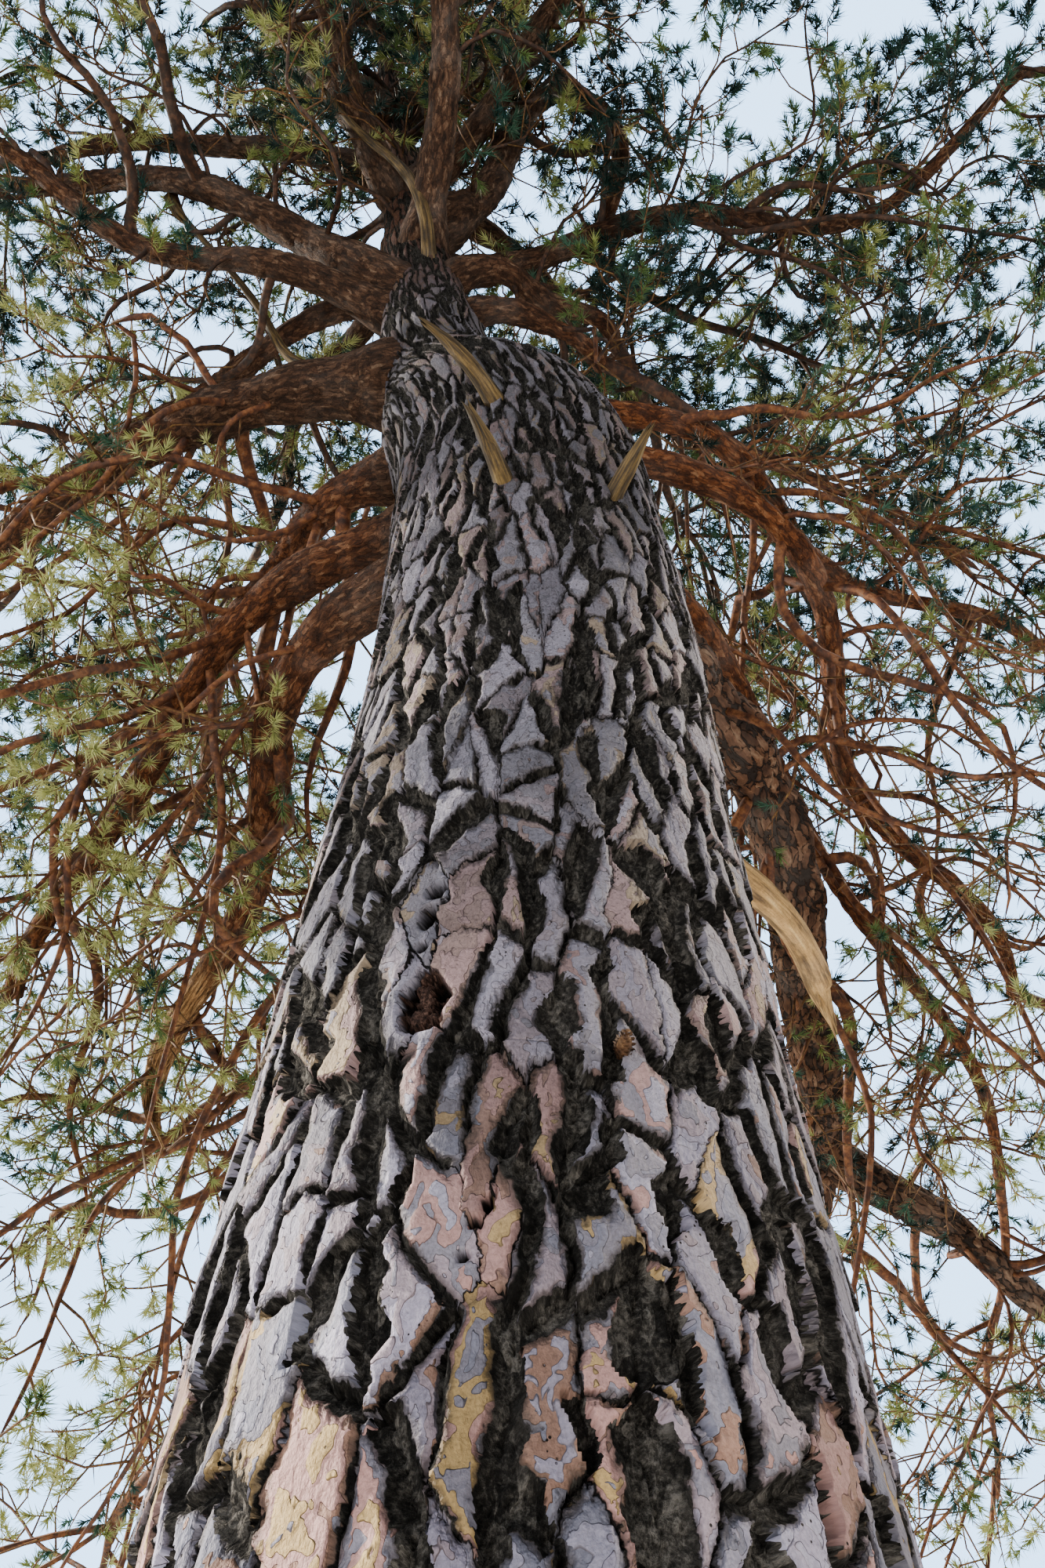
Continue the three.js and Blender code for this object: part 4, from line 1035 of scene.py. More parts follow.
trunkMaterial = makeTrunkMaterial()
boughMaterial = makeBoughMaterial()
deadMaterial = makeDeadMaterial(
    "deadWood", [(0.30, "4A3826"), (0.42, "8E7350"), (0.54, "B7976A"), (0.72, "CBB388")],
    0.15, 0.62)
stubMaterial = makeDeadMaterial(
    "stubWood", [(0.36, "17120D"), (0.45, "403423"), (0.55, "6E5B3B"), (0.70, "95825C")],
    0.1, 0.3)
branchMaterial = makeTwigMaterial(
    "branchBark", [(0.30, "33201A"), (0.48, "5E3A29"), (0.62, "885D3F"), (0.78, "75665B")], 26.0)
# A darker copy of the branch bark, as painted shade high in the crown.
shadedBranchMaterial = makeTwigMaterial(
    "shadedBranchBark", [(0.30, "1D1411"), (0.48, "38251D"), (0.62, "5C4030"), (0.78, "5A4F48")],
    26.0)
shootMaterial = makeTwigMaterial(
    "shootBark", [(0.30, "3E2C20"), (0.50, "6C4C31"), (0.70, "8A7048")], 40.0)
coneMaterial = makeTwigMaterial(
    "coneScales", [(0.30, "3B2A20"), (0.50, "6B4F3A"), (0.72, "94785B")], 60.0)
# From shaded dark blue green to lit yellow green: partly the needles' own colour, partly painted
# light and shade.
needleColors = ["1B322E", "294A45", "3F6150", "5F7548", "87925A", "A9AE78"]
needleMaterials = [makeNeedleMaterial("needles%d" % i, c) for i, c in enumerate(needleColors)]
print("materials: made")

trunkRelief = reliefGroup("trunkRelief", trunkBarkShape)
boughRelief = reliefGroup("boughRelief", boughBarkShape)
deadRelief = reliefGroup("deadRelief", deadWoodShape)


trunkMesh = {
    # name, from height, to height, ring spacing, segments round
    "pieces": [
        ("trunk_foot", 0.0, 1.95, 0.024, 220),
        ("trunk_bark_lowest", 1.95, 2.70, 0.0052, 520),
        ("trunk_bark_lower", 2.70, 3.60, 0.0060, 520),
        ("trunk_bark_middle", 3.60, 5.25, 0.0085, 420),
        ("trunk_bark_shoulder", 5.25, 6.95, 0.0095, 380),
        ("trunk_leader", 6.95, 12.7, 0.022, 130),
    ],
    "frontShare": 0.70,
}


# Angles round the trunk, closer together on the side that is seen.
def ringAngles(count):
    front = int(count * trunkMesh["frontShare"])
    a = -math.pi + math.pi * (np.arange(front) + 0.5) / front
    b = math.pi * (np.arange(count - front) + 0.5) / (count - front)
    return np.concatenate([a, b])


def makeTrunkPiece(name, low, high, spacing, count):
    heights = np.linspace(low, high, int(round((high - low) / spacing)) + 1)
    angles = ringAngles(count)
    z, angle = [a.ravel() for a in np.meshgrid(heights, angles, indexing="ij")]
    outward = np.stack([np.cos(angle), np.sin(angle), np.zeros_like(angle)], -1)
    radius = skinRadius(z, angle)
    points = trunkAxis(z) + outward * radius[:, None]
    barkPoint = barkCoordinates(z, angle)
    upper = smooth((z - 6.3) / 2.2)
    # A slender leader bears no deep grooves.
    bark = trunkBark
    depth = bark["reliefScale"] * barkShrink(z) ** -bark["reliefPower"] * (1 - 0.5 * upper)
    depth = np.minimum(depth, radius / 0.20)
    points = np.vstack([points, trunkAxis(heights[[0, -1]])])
    ends = np.zeros((2, 3))
    fields = {
        "barkPoint": np.vstack([barkPoint, ends]), "outward": np.vstack([outward, ends]),
        "barkDepth": np.append(depth, [0, 0]), "upper": np.append(upper, [0, 0]),
    }
    piece = meshPiece(name, points, *ringFaces(len(heights), count), fields, [trunkMaterial])
    applyRelief(piece, trunkRelief)
    keep(piece, "trunk")


for row in trunkMesh["pieces"]:
    makeTrunkPiece(*row)
print("trunk: made")

boughMesh = {
    # Spacing of the rings and sides of each.
    "rings": (0.026, 16), "thickRings": (0.014, 44),
    "thick": ["bough_left_main", "bough_rear_main", "bough_top_left", "bough_rear_outer",
              "bough_left_torn", "bough_left_lower_sweep", "bough_left_upper_sweep"],
    "collar": 0.6, "collarLength": 1.9, "coarseBark": 2.4, "finerBark": 1.15, "usualAge": 0.8,
    "knobs": 5, "knobHeight": 0.035, "knobWaves": (4, 16),
    "ribs": 3, "ribHeight": 0.028, "ribTurns": (2, 5), "ribTwist": (-3, 3),
    "ageFrom": 0.045, "ageSpan": 0.075, "fullRelief": 0.05, "canopyShadeFrom": 7.0,
    "aged": {"bough_rear_main": 0.65, "bough_rear_outer": 0.75, "bough_rear_leg": 0.6},
}


# A limb's skin: rings along its line with a collar at the trunk, knobs and a closed or torn end.
def makeLimbPiece(node, ending, line, radii, sides, material, relief, seed, splinter=0.0,
                  collar=1.0, coarse=1.0, aged=1.0, rough=0.0, bare=0.0,
                  ageFrom=boughMesh["ageFrom"]):
    shape = boughMesh
    rng = np.random.default_rng(seed)
    count = len(line)
    share = np.linspace(0, 1, count)
    along = np.concatenate([[0], np.cumsum(np.linalg.norm(np.diff(line, axis=0), axis=-1))])
    height = line[:, 2]
    fromSkin = np.linalg.norm(line[:, :2] - trunkAxis(height)[:, :2], axis=-1) - trunkRadius(height)
    reach = shape["collarLength"] * radii[0]
    radii = radii * (1 + collar * shape["collar"] * np.exp(-np.maximum(fromSkin, 0) / reach))
    for _ in range(shape["knobs"]):
        wave, start = rng.uniform(*shape["knobWaves"]), rng.uniform(0, fullTurn)
        radii = radii * (1 + shape["knobHeight"] * np.sin(wave * along + start))
    rings, outward, tangents = sweepRings(line[None], radii[None], sides)
    rings, outward, tangents = rings[0], outward[0], tangents[0]
    angle = 2 * math.pi * np.arange(sides) / sides
    # Broad ribs that wind round the limb.
    ribs = np.zeros((count, sides))
    for _ in range(shape["ribs"]):
        turns, twist = rng.integers(*shape["ribTurns"]), rng.uniform(*shape["ribTwist"])
        ribs += np.sin(turns * angle[None] + twist * along[:, None] + rng.uniform(0, fullTurn))
    rings = rings + outward * (ribs * shape["ribHeight"] * radii[:, None])[..., None]
    if splinter > 0:
        teeth = rng.uniform(0, 1, sides) ** 0.8
        end = smooth((share - (1 - splinter)) / splinter)[:, None]
        pull = end * teeth[None] * splinter * along[-1]
        rings = rings - tangents[:, None] * (pull * 0.75)[..., None]
        shrink = 1 - 0.75 * end ** 2 * rng.uniform(0.5, 1.0, sides)[None]
        rings = line[:, None] + (rings - line[:, None]) * shrink[..., None]
    points = np.vstack([rings.reshape(-1, 3), line[0], rings[-1].mean(0)])
    barkPoint = np.stack([radii[:, None] * np.cos(angle), radii[:, None] * np.sin(angle),
                          np.repeat(along[:, None], sides, 1)], -1).reshape(-1, 3)
    barkPoint = barkPoint / coarse + rng.uniform(-20, 20, 3)
    thick = np.repeat(radii, sides)
    wood = np.repeat(smooth((share - 1 + bare) / 0.05) * (bare > 0), sides)
    fields = {
        "barkPoint": np.vstack([barkPoint, barkPoint[:1], barkPoint[-1:]]),
        "outward": np.vstack([outward.reshape(-1, 3), np.zeros((2, 3))]),
        "barkDepth": np.append(np.minimum(1, thick / shape["fullRelief"]) * (1 + rough), [0, 0]),
        "age": np.append(smooth((thick - ageFrom) / shape["ageSpan"]) * aged, [0, 0]),
        "rough": np.full(len(points), rough),
        "bare": np.append(wood, [0, bare > 0]),
    }
    piece = meshPiece(node + ending, points, *ringFaces(count, sides), fields, [material])
    applyRelief(piece, relief)
    keep(piece, node)


# The torn limb stays thick up to where it is broken, and the bleached one nearly so.
brokenRadii = {
    "bough_left_torn": ([0, 0.5, 0.72, 0.88, 1.0], [0.084, 0.064, 0.060, 0.050, 0.034]),
    "dead_limb_bleached": ([0, 0.45, 0.72, 0.84, 1.0], [0.052, 0.048, 0.050, 0.043, 0.022]),
}


def limbRadii(limb, line, first=1.0, last=None):
    share = np.linspace(0, 1, len(line))
    if limb["name"] in brokenRadii:
        return np.interp(share, *brokenRadii[limb["name"]])
    return np.linspace(limb["base"] * first, limb["base"] * last if last else limb["tip"],
                       len(line))


for index, limb in enumerate(boughs + forkedBoughs):
    name = limb["name"]
    spacing, sides = boughMesh["thickRings" if name in boughMesh["thick"] else "rings"]
    line = smoothLine(limbs[name]["fine"], spacing)
    torn, rough = name in brokenRadii, name in boughMesh["aged"]
    # Painted shade: boughs high in the crown, under the canopy, get the darker old bark even where
    # thin.
    high = limb.get("height", 8) > boughMesh["canopyShadeFrom"]
    makeLimbPiece(
        name, "_bark", line, limbRadii(limb, line), sides,
        boughMaterial, boughRelief, 100 + index,
        splinter=0.16 if torn else 0.0, bare=0.33 if torn else 0.0,
        ageFrom=0.0 if high else boughMesh["ageFrom"], rough=float(rough),
        coarse=boughMesh["coarseBark" if rough else "finerBark"],
        aged=boughMesh["aged"].get(name, boughMesh["usualAge"]))
print("boughs: made")

for index, limb in enumerate(deadWood):
    name = limb["name"]
    line = smoothLine(limbs[name]["fine"], 0.012)
    radii = limbRadii(limb, line, *((0.9, 0.5) if "stub" in name else ()))
    material = deadMaterial if name in brokenRadii else stubMaterial
    makeLimbPiece(name, "_wood", line, radii, 20, material, deadRelief, 300 + index,
                  splinter=0.25, collar=0.2)
print("dead wood: made")

foliage = {
    "extraPrimaries": 8, "primaryPoints": 9, "primarySides": 4,
    "primaryRadius": 0.015, "primaryTip": 0.0045,
    "secondaries": 11, "secondaryPoints": 4, "secondaryRadius": 0.0058, "secondaryTip": 0.0026,
    "secondaryLength": (0.36, 0.90), "shoots": 6, "shootRadius": 0.0030,
    "shootLength": (0.12, 0.21), "needlesPerShoot": 42, "towardsTip": 0.66,
    "needleLength": (0.064, 0.098), "needleWidth": 0.0080, "needleAngle": (26, 78),
    # Shoots near the place of the photograph bear finer needles, and none hangs right in front
    # of it. Those that it doesn't show bear fewer and larger ones.
    "fullSizeAt": 9.5, "finest": 0.6, "coarsest": 1.15, "sizeStep": 0.1,
    "unseen": 1.9, "unseenCount": 0.27, "unseenTwigs": 0.6, "frameMargin": 1.04, "clearing": 3.2,
    "canopyShadeFrom": 7.2, "limbGap": 0.03, "coneShare": 0.035,
}


# Winding lines from roots: lift turns them up, wander winds them.
def growLines(rng, roots, ahead, lengths, count, lift, wander, kinks=0.0):
    n = len(roots)
    bends = np.cumsum(rng.normal(0, kinks, (n, count, 3)), axis=1)
    side = leaving(ahead, np.full(n, math.pi / 2), np.zeros(n))
    up = np.cross(ahead, side)
    phases = rng.uniform(0, 2 * math.pi, (n, 2))
    lines = np.empty((n, count, 3))
    lines[:, 0] = roots
    for j in range(1, count):
        s = (j - 0.5) / (count - 1)
        a = np.sin(phases[:, :1] + 2 * math.pi * 1.2 * s) * wander
        b = np.cos(phases[:, 1:] + 2 * math.pi * 1.0 * s) * wander
        step = unit(ahead + side * a + up * b + bends[:, j] + upward * (lift * s))
        lines[:, j] = lines[:, j - 1] + step * (lengths[:, None] / (count - 1))
    return lines


def branchOff(rng, lines, number, first, last, angle, length, count, lift, wander, kinks=0.0):
    n = len(lines)
    each = np.arange(number)
    shares = first + (last - first) * (each + rng.uniform(0.2, 0.8, (n, number))) / number
    roots, ahead = alongLines(lines, shares)
    roll = rng.uniform(0, 360, (n, 1)) + rule["goldenAngle"] * each + rng.normal(0, 12, (n, number))
    angles = np.radians(angle + rng.normal(0, 9, (n, number)))
    out = leaving(ahead, angles, np.radians(roll)).reshape(-1, 3)
    lengths = (rng.uniform(*length, (n, number)) * (1 - 0.45 * shares)).ravel()
    return growLines(rng, roots.reshape(-1, 3), out, lengths, count, lift, wander, kinks)


# The source's own twigs of a mass: the same draws, trials and refusals.
def sourceTwigs(mass, index):
    draw = seededRandom(mass["seed"])
    stem = mass["stem"]
    grown, twigs = [], []
    sprayLength = mass["reach"] * rule["sprayLength"]
    half = sprayLength * rule["sprayWidth"] / 2
    width = rule["twigHalfWidth"]

    def grow(root, ahead, clearFrom, handle, roll):
        across = leaving(ahead, math.pi / 2, roll)
        sprayRoot = root + ahead * handle
        tip = root + ahead * (handle + sprayLength)
        middle = root + ahead * (handle + sprayLength / 2)
        corners = np.array([sprayRoot, tip, middle + across * half, middle - across * half])
        fits = (inSpace(corners, index, rule["spaceMargin"]).all()
                and clearOfLimbs(root, sprayRoot, width, [mass["name"], mass["on"]])
                and clearOfLimbs(root + ahead * clearFrom, sprayRoot, width, [mass["name"]])
                and clearOfLimbs(sprayRoot, tip, half, [mass["name"]]))
        if fits and grown:
            others = np.array(grown)
            far = segmentDistances(sprayRoot, tip, others[:, 0], others[:, 1])
            fits = far.min() >= half * rule["twigSpacing"]
        if fits:
            grown.append([sprayRoot, tip])
            twigs.append([root, tip])
        return fits

    point, ahead = alongLine(stem, 1.0)
    grow(point - ahead * 3 * width, ahead, 0, 4 * width, math.radians(360 * draw()))
    firstRoll = 360 * draw()
    span = rule["twigLast"] - rule["twigFirst"]
    for k in range(rule["twigs"]):
        share = rule["twigFirst"] + span * (k + 0.5) / rule["twigs"]
        roll = firstRoll + rule["goldenAngle"] * k + rule["twigRollSpread"] * (draw() - 0.5)
        angle = math.radians(rule["twigAngle"] + rule["twigAngleSpread"] * (draw() - 0.5))
        full = mass["reach"] * rule["twigLength"] * (1 - rule["twigShortening"] * share)
        length = full * (1 + rule["twigLengthSpread"] * (draw() - 0.5))
        sprayRoll = math.radians(360 * draw())
        root, along = alongLine(stem, share)
        clearFrom = mass["radii"][0] + 3 * rule["limbClearance"]
        for turn in range(rule["twigTries"]):
            ahead = leaving(along, angle, math.radians(roll + rule["twigTurn"] * turn))
            if grow(root, ahead, clearFrom, length, sprayRoll):
                break
    return np.array(twigs)


# More primaries of the same kind, wherever there is still room in the mass's space.
def extraTwigs(rng, mass, index):
    made = []
    number = foliage["extraPrimaries"]
    for k in range(number):
        share = 0.12 + 0.85 * (k + rng.uniform(0.2, 0.8)) / number
        root, along = alongLine(mass["stem"], share)
        for _ in range(5):
            ahead = leaving(along, math.radians(rng.normal(55, 12)), rng.uniform(0, 2 * math.pi))
            full = mass["reach"] * (0.80 - 0.32 * share) * rng.uniform(0.8, 1.1)
            ends = [root + ahead * full * part for part in (1.0, 0.8, 0.6)]
            ends = [end for end in ends if inSpace(end, index, 0.0)[0]]
            if ends and clearOfLimbs(root + ahead * 0.3, ends[0], 0.03, [mass["name"]]):
                made.append([root, ends[0]])
                break
    return np.array(made).reshape(-1, 2, 3)


def bentTwigs(rng, ends, count):
    n = len(ends)
    t = np.linspace(0, 1, count)[None, :, None]
    chord = ends[:, 1] - ends[:, 0]
    length = np.linalg.norm(chord, axis=-1)[:, None, None]
    ahead = unit(chord)
    side = leaving(ahead, np.full(n, math.pi / 2), rng.uniform(0, fullTurn, n))
    other = np.cross(ahead, side)
    bow = rng.normal(0, 0.045, (n, 1, 1))
    line = ends[:, :1] + chord[:, None] * t
    line = line + side[:, None] * np.sin(math.pi * t) * length * bow
    wave = rng.uniform(0, fullTurn, (n, 1, 1))
    fade = np.sin(math.pi * t)
    line = line + other[:, None] * np.sin(wave + 2 * math.pi * 1.6 * t) * fade * length * 0.022
    return line


# Size of shoots and needles, which are finer the nearer they are to the place of the photograph.
def sizeAt(points):
    away = np.linalg.norm(points - camera, axis=-1)
    return np.clip(away / foliage["fullSizeAt"], foliage["finest"], foliage["coarsest"])


def shootsAndNeedles(rng, shoots, spray, tone):
    # Colour by spray, partly own colour and partly painted light: dark and blue as painted shade in
    # the dense parts, light yellow green as painted light where the crown is open.
    draw = rng.uniform(0, 1, spray.max() + 1)[spray] * 1.2 + rng.uniform(0, 0.25, len(shoots))
    shade = ((draw - tone * 0.75) * len(needleMaterials)).astype(int)
    shade = np.clip(shade, 0, len(needleMaterials) - 1)
    sizes = np.where(inPicture(shoots[:, -1]), sizeAt(shoots[:, -1]), foliage["unseen"])
    steps = np.round(sizes / foliage["sizeStep"]).astype(int)
    points, colors = [], []
    low, high = foliage["needleAngle"]
    for step in np.unique(steps):
        size = step * foliage["sizeStep"]
        group = shoots[steps == step]
        n = len(group)
        number = foliage["needlesPerShoot"]
        if size > foliage["coarsest"] + foliage["sizeStep"]:
            number = int(round(number * foliage["unseenCount"]))
        shares = rng.uniform(0.05, 1.0, (n, number)) ** foliage["towardsTip"]
        roots, ahead = alongLines(group, shares)
        # Needles stand off further at the shoot's foot than at its tip.
        angles = high + (low - high) * shares + rng.normal(0, 9, (n, number))
        out = leaving(ahead, np.radians(angles), rng.uniform(0, 2 * math.pi, (n, number)))
        lengths = rng.uniform(*foliage["needleLength"], (n, number))[..., None] * size
        roll = rng.uniform(0, 2 * math.pi, (n, number))
        across = leaving(out, np.full((n, number), math.pi / 2), roll)
        half = across * foliage["needleWidth"] * size / 2
        corners = np.stack([roots + half, roots - half, roots + out * lengths], 2)
        points.append(corners.reshape(-1, 3))
        colors.append(np.repeat(shade[steps == step], number))
    return np.concatenate(points), np.concatenate(colors)


def finerTubes(second, shoot):
    radii = np.linspace(foliage["secondaryRadius"], foliage["secondaryTip"], second.shape[1])
    return [taperedTubes(second, np.tile(radii, (len(second), 1)), 3),
            taperedTubes(shoot, np.full((len(shoot), 2), foliage["shootRadius"]), 3)]


def needlePiece(name, points, index, node):
    triangles = np.arange(len(points)).reshape(-1, 3)
    piece = meshPiece(name, points, None, triangles, None, needleMaterials, index, rounded=False)
    keep(piece, node)
    return len(triangles)


def twigPiece(name, branches, shoots, node):
    parts = joinParts(branches + shoots)
    branchQuads = sum(len(part[1]) for part in branches)
    branchTriangles = sum(len(part[2]) for part in branches)
    index = np.ones(len(parts[1]) + len(parts[2]), int)
    index[:branchQuads] = 0
    index[len(parts[1]):len(parts[1]) + branchTriangles] = 0
    # Painted shade: what is high in the crown gets a darker, shaded copy of the branch bark.
    heights = parts[0][np.concatenate([parts[1][:, 0], parts[2][:, 0]]), 2]
    index[(heights > foliage["canopyShadeFrom"]) & (index == 0)] = 2
    materials = [branchMaterial, shootMaterial, shadedBranchMaterial]
    piece = meshPiece(name, *parts, None, materials, index)
    keep(piece, node)
    return 2 * len(parts[1]) + len(parts[2])


# True for points that the photograph shows or nearly shows.
def inPicture(points):
    pitch = math.radians(view["pitch"])
    offset = points - camera
    depth = offset @ np.array([0, math.cos(pitch), math.sin(pitch)])
    high = offset @ np.array([0, -math.sin(pitch), math.cos(pitch)])
    tall = view["sensor"] / 2 / view["lens"] * foliage["frameMargin"] * np.maximum(depth, 1e-6)
    return (depth > 0) & (np.abs(high) < tall) & (np.abs(offset[:, 0]) < tall * view["aspect"])


# Twigs on twigs: secondaries and shoots of the given primaries that stay in place.
def finerTwigs(rng, primaries, index, leafy, but, shoots=foliage["shoots"]):
    second = branchOff(rng, primaries, foliage["secondaries"], 0.28, 1.0, 48,
                       foliage["secondaryLength"], foliage["secondaryPoints"], 0.35, 0.28)
    if index is not None:
        second = second[inSpace(second[:, -1], index, -0.30)]
    second = second[inBox(second[:, -1]) & (skinDistance(second[:, -1], but) > foliage["limbGap"])]
    away = np.linalg.norm(second[:, -1] - camera, axis=-1)
    second = second[away > foliage["clearing"] - 0.3]
    seen = inPicture(second[:, -1])
    second = second[seen | (rng.uniform(0, 1, len(second)) < foliage["unseenTwigs"])]
    shoot = branchOff(rng, second, shoots, 0.45, 1.0, 38, foliage["shootLength"], 2, 0.25, 0.1)
    shoot[:, 1] = shoot[:, 0] + (shoot[:, 1] - shoot[:, 0]) * sizeAt(shoot[:, 0])[:, None]
    ahead = np.linalg.norm(shoot[:, -1] - camera, axis=-1)
    fits = inBox(shoot[:, -1], 0.02) & (ahead > foliage["clearing"])
    spray = np.repeat(np.arange(len(second)), shoots)[fits]
    shoot = shoot[fits]
    leafy = rng.uniform(0, 1, len(shoot)) < leafy
    return second, shoot, shoot[leafy], spray[leafy]


coneRoots = []
total, needleTotal = 0, 0
for index, mass in enumerate(masses):
    rng = np.random.default_rng(mass["seed"])
    stemLine = smoothLine(mass["fine"], 0.07)[None]
    start = mass["carrierTip"] * rule["stemStartShare"]
    share = np.linspace(0, 1, stemLine.shape[1])
    stemRadii = start + (rule["stemTipRadius"] - start) * share ** 0.8
    ends = np.concatenate([sourceTwigs(mass, index), extraTwigs(rng, mass, index)])
    primaries = bentTwigs(rng, ends, foliage["primaryPoints"])
    spread = rng.uniform(0.75, 1.25, (len(primaries), 1))
    primaryRadii = np.linspace(foliage["primaryRadius"], foliage["primaryTip"],
                               foliage["primaryPoints"])[None]
    second, shoot, bearing, spray = finerTwigs(rng, primaries, index, mass["leafy"], [mass["name"]])
    branches = [taperedTubes(stemLine, stemRadii[None], 9),
                taperedTubes(primaries, primaryRadii * spread, foliage["primarySides"])]
    count = twigPiece(mass["name"].replace("needles", "twigs"), branches, finerTubes(second, shoot),
                      mass["name"])
    points, colorIndex = shootsAndNeedles(rng, bearing, spray, mass["tone"])
    needleCount = needlePiece(mass["name"] + "_sprays", points, colorIndex, mass["name"])
    total += count + needleCount
    needleTotal += needleCount
    coneRoots.append(second[rng.uniform(0, 1, len(second)) < foliage["coneShare"]][:, -2])
print("masses: made,", total, "triangles,", needleTotal, "needles")

# Side branches along the boughs, most of them bare inside the crown: some stout, most thin.
sideBranches = {
    "kinds": [
        {"perMetre": 1.1, "points": 20, "length": (1.4, 2.9), "share": 0.52, "largest": 0.036},
        {"perMetre": 3.0, "points": 14, "length": (0.8, 2.2), "share": 0.30, "largest": 0.018},
    ],
    "angle": 52, "wander": 0.65, "kinks": 0.15, "shoots": 5, "highLimb": 7.0, "leaderFrom": 7.6,
    "limbGap": 0.02,
    # Share of the shoots with needles, and how blue and dark these are, partly own colour and
    # partly painted shade, low in the crown and high.
    "leafy": {"left": (0.42, 0.6), "right": (0.22, 1.0), "back_left": (0.4, 0.65),
              "back_right": (0.35, 1.0), "front": (0.5, 0.9)},
    "tone": {"left": (-0.35, 0.45), "right": (0.4, 0.85), "back_left": (-0.1, 0.4),
             "back_right": (0.3, 0.7), "front": (0.1, 0.4)},
}
# Long branches that hang from the lower boughs, nearly bare on the right.
hanging = {
    "tries": 30, "perBough": {"left": 5, "right": 3}, "points": 24, "length": (1.8, 3.4),
    "radius": 0.020, "angle": 50, "lift": -1.3, "wander": 0.45, "kinks": 0.10, "fall": 0.7,
    "asideOfTrunk": 0.8, "fromCamera": 2.9, "leafy": {"left": 0.85, "right": 0.25},
    "from": ["bough_right_sweep", "bough_right_upper_sweep", "bough_right_lower_sweep",
             "bough_right_long", "bough_rear_main", "bough_left_main", "bough_left_lower_sweep",
             "bough_left_upper_sweep", "bough_left_drooping"],
}


# The limbs that bear side branches, with the trunk above the lowest of the crown's boughs.
def bearingLimbs():
    rows = []
    for limb in boughs + forkedBoughs:
        known = limbs[limb["name"]]
        high = limb.get("height", 6) > sideBranches["highLimb"]
        thickness = (limb["base"] + limb["tip"]) / 2
        rows.append((limb["name"], known["fine"], thickness, limb["length"], high))
    heights = np.linspace(sideBranches["leaderFrom"], 12.6, 40)
    rows.append(("trunk", trunkAxis(heights), 0.07, 2 * (heights[-1] - heights[0]), True))
    return rows


def hangingBranches():
    chosen = []
    for number, name in enumerate(hanging["from"]):
        rng = np.random.default_rng(800 + number)
        lines = branchOff(rng, limbs[name]["fine"][None], hanging["tries"], 0.35, 0.95,
                          hanging["angle"], hanging["length"], hanging["points"],
                          hanging["lift"], hanging["wander"], hanging["kinks"])
        fits = [inBox(line, 0.0).all()
                and line[0, 2] - line[-1, 2] > hanging["fall"]
                and np.abs(line[6:, 0]).min() > hanging["asideOfTrunk"]
                and np.linalg.norm(line - camera, axis=-1).min() > hanging["fromCamera"]
                and skinDistance(line[4:], [name]).min() > sideBranches["limbGap"]
                for line in lines]
        side = "left" if limbs[name]["fine"][-1, 0] < 0 else "right"
        chosen.append(lines[np.array(fits, bool)][:hanging["perBough"][side]])
    lines = np.concatenate(chosen)
    print("hanging branches:", len(lines))
    radii = np.linspace(hanging["radius"], 0.3 * hanging["radius"], hanging["points"])
    return lines, np.tile(radii, (len(lines), 1))


def makeSideBranches():
    groups = {}
    lines, radii = hangingBranches()
    for key, chosen in (("left", lines[:, -1, 0] < 0), ("right", lines[:, -1, 0] >= 0)):
        groups[key] = [(lines[chosen], radii[chosen], None)]
    for number, (name, line, thickness, length, high) in enumerate(bearingLimbs()):
        rng = np.random.default_rng(500 + number)
        for kind in sideBranches["kinds"]:
            count = int(round(length * kind["perMetre"]))
            lines = branchOff(rng, line[None], count, 0.12 if name == "trunk" else 0.22, 0.97,
                              sideBranches["angle"], kind["length"], kind["points"],
                              0.5 if high else -0.35, sideBranches["wander"], sideBranches["kinks"])
            fits = [inBox(branch[-6:]).all()
                    and skinDistance(branch[4:], [name]).min() > sideBranches["limbGap"]
                    and (name == "trunk" or skinDistance(branch, [], ["trunk"]).min() > -0.05)
                    for branch in lines]
            lines = lines[np.array(fits, bool)]
            base = np.minimum(kind["largest"], kind["share"] * thickness)
            spread = rng.uniform(0.7, 1.1, (len(lines), 1))
            radii = base * spread * np.linspace(1, 0.22, kind["points"])
            ends = lines[:, -1]
            sideways = np.abs(ends[:, 0]) > np.abs(ends[:, 1]) * 0.8
            rearward = np.where(ends[:, 0] < 0, "back_left", "back_right")
            keys = np.where(sideways, np.where(ends[:, 0] < 0, "left", "right"),
                            np.where(ends[:, 1] > 0, rearward, "front"))
            for key in sideBranches["leafy"]:
                chosen = keys == key
                if chosen.any():
                    groups.setdefault(key, []).append((lines[chosen], radii[chosen], int(high)))
    made = 0
    for key, rows in groups.items():
        rng = np.random.default_rng(len(key) + 900)
        branches, shoots, points, colors = [], [], [], []
        for lines, radii, high in rows:
            hangs = high is None
            leafy = hanging["leafy"][key] if hangs else sideBranches["leafy"][key][high]
            tone = sideBranches["tone"][key][0 if hangs else high]
            second, shoot, bearing, spray = finerTwigs(rng, lines, None, leafy, [],
                                                       sideBranches["shoots"])
            branches.append(taperedTubes(lines, radii, 5))
            shoots += finerTubes(second, shoot)
            needlePoints, colorIndex = shootsAndNeedles(rng, bearing, spray, tone)
            points.append(needlePoints)
            colors.append(colorIndex)
        made += twigPiece("side_twigs_" + key, branches, shoots, None)
        made += needlePiece("side_needles_" + key, np.concatenate(points),
                            np.concatenate(colors), None)
    return made


total += makeSideBranches()
print("side branches: made,", total, "triangles in all")


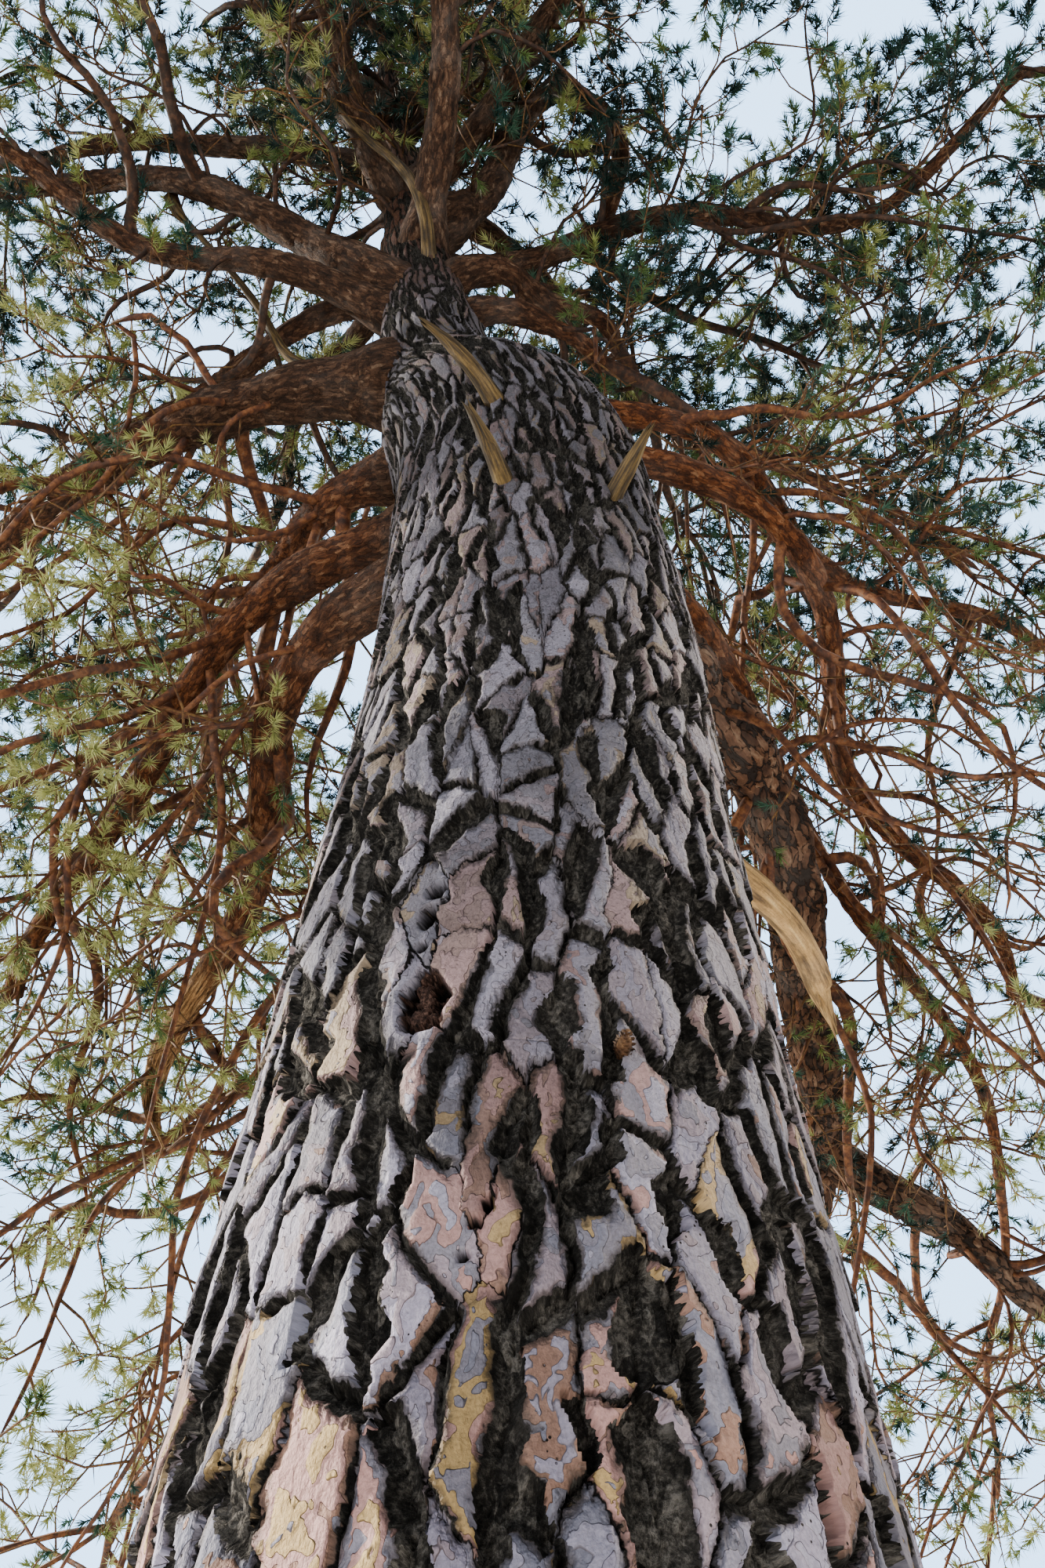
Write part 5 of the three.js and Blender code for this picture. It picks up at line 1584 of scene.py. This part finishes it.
# A cone: an egg-shaped core with overlapping scales in a golden-angle spiral.
def coneShape(length, width, scales):
    t = np.linspace(0, 1, 7)
    profile = np.sin(math.pi * np.clip(t * 0.92 + 0.04, 0, 1)) ** 0.7 * width / 2 * 0.72
    line = np.stack([np.zeros(7), np.zeros(7), t * length], -1)[None]
    core = taperedTubes(line, profile[None], 6)
    k = np.arange(scales)
    share = (k + 0.5) / scales
    angle = np.radians(rule["goldenAngle"] * k)
    out = np.stack([np.cos(angle), np.sin(angle), np.zeros(scales)], -1)
    side = np.stack([-np.sin(angle), np.cos(angle), np.zeros(scales)], -1)
    radius = np.sin(math.pi * (share * 0.86 + 0.08)) ** 0.7 * width / 2
    root = out * (radius * 0.55)[:, None] + upward * (share * length)[:, None]
    tipPoint = root + out * (radius * 0.50)[:, None] + upward * (length * 0.10)
    wing = side * (width * 0.15)
    middle = (root + tipPoint) / 2 + upward * length * 0.02
    points = np.stack([root, middle + wing, tipPoint, middle - wing], 1).reshape(-1, 3)
    quads = np.arange(scales * 4).reshape(-1, 4)
    return joinParts([core, (points, quads, np.zeros((0, 3), int))])


def placedCones(shape, roots, rng):
    parts = []
    for root in roots:
        down = unit(np.array([rng.normal(0, 0.5), rng.normal(0, 0.5), -1.0]))
        side = leaving(down, math.pi / 2, rng.uniform(0, fullTurn))
        frameAxes = np.stack([side, np.cross(down, side), down])
        parts.append((shape[0] @ frameAxes + root, shape[1], shape[2]))
    return joinParts(parts)


rng = np.random.default_rng(77)
roots = np.concatenate(coneRoots)
cones = meshPiece("cones", *placedCones(coneShape(0.05, 0.032, 21), roots, rng), None,
                  [coneMaterial], None, rounded=False)
keep(cones)
total += 2 * len(cones.data.polygons)
# One cone is wedged into the trunk's bark.
stuck = coneShape(0.048, 0.034, 60)
axis = unit(np.array([0.15, -0.9, 0.45]))
side = leaving(axis, math.pi / 2, 0.0)
stuckCone = meshPiece(
    "stuck_cone", stuck[0] @ np.stack([side, np.cross(axis, side), axis]) + [0.146, -0.222, 2.69],
    stuck[1], stuck[2], None, [coneMaterial], None, rounded=False)
keep(stuckCone)
print("cones:", len(roots), "- foliage", total, "triangles")

lens = bpy.data.cameras.new("photoView")
lens.lens, lens.sensor_width, lens.clip_end = view["lens"], view["sensor"], 200
cameraObject = bpy.data.objects.new("photoView", lens)
cameraObject.location = view["place"]
cameraObject.rotation_euler = (math.radians(90 + view["pitch"]), 0, 0)
bpy.context.scene.collection.objects.link(cameraObject)
bpy.context.scene.camera = cameraObject


for name, heading, rise, strength, size, color in suns:
    lamp = bpy.data.lights.new(name, "SUN")
    lamp.energy, lamp.angle, lamp.color = strength, math.radians(size), color
    holder = bpy.data.objects.new(name, lamp)
    holder.rotation_euler = Vector(direction(heading, rise)).to_track_quat("Z", "Y").to_euler()
    bpy.context.scene.collection.objects.link(holder)

world = bpy.data.worlds.new("paleStudio")
world.use_nodes = True
lit = world.node_tree.nodes["Background"]
lit.inputs["Color"].default_value = (0.86, 0.92, 1.0, 1)
lit.inputs["Strength"].default_value = view["worldStrength"]
seen = fieldOf(world.node_tree, "ShaderNodeBackground",
               {"Color": (0.46, 0.70, 1.0, 1), "Strength": view["backdropStrength"]})
ray = fieldOf(world.node_tree, "ShaderNodeLightPath", None, "Is Camera Ray")
both = fieldOf(world.node_tree, "ShaderNodeMixShader", {0: ray, 1: Field(lit.outputs[0]), 2: seen})
plug(world.node_tree.nodes["World Output"], {0: both})
bpy.context.scene.world = world

bpy.context.scene.view_settings.look = "AgX - Medium High Contrast"

floorSize = 60.0
floorPoints = np.array([[-1, -1, 0], [1, -1, 0], [1, 1, 0], [-1, 1, 0]]) * floorSize
floorMaterial, _, floorShader = newMaterial("paleFloor", 0.85)
floorShader.inputs["Base Color"].default_value = (0.75, 0.75, 0.74, 1)
floor = meshPiece("floor", floorPoints, np.array([[0, 1, 2, 3]]), None, None, [floorMaterial])
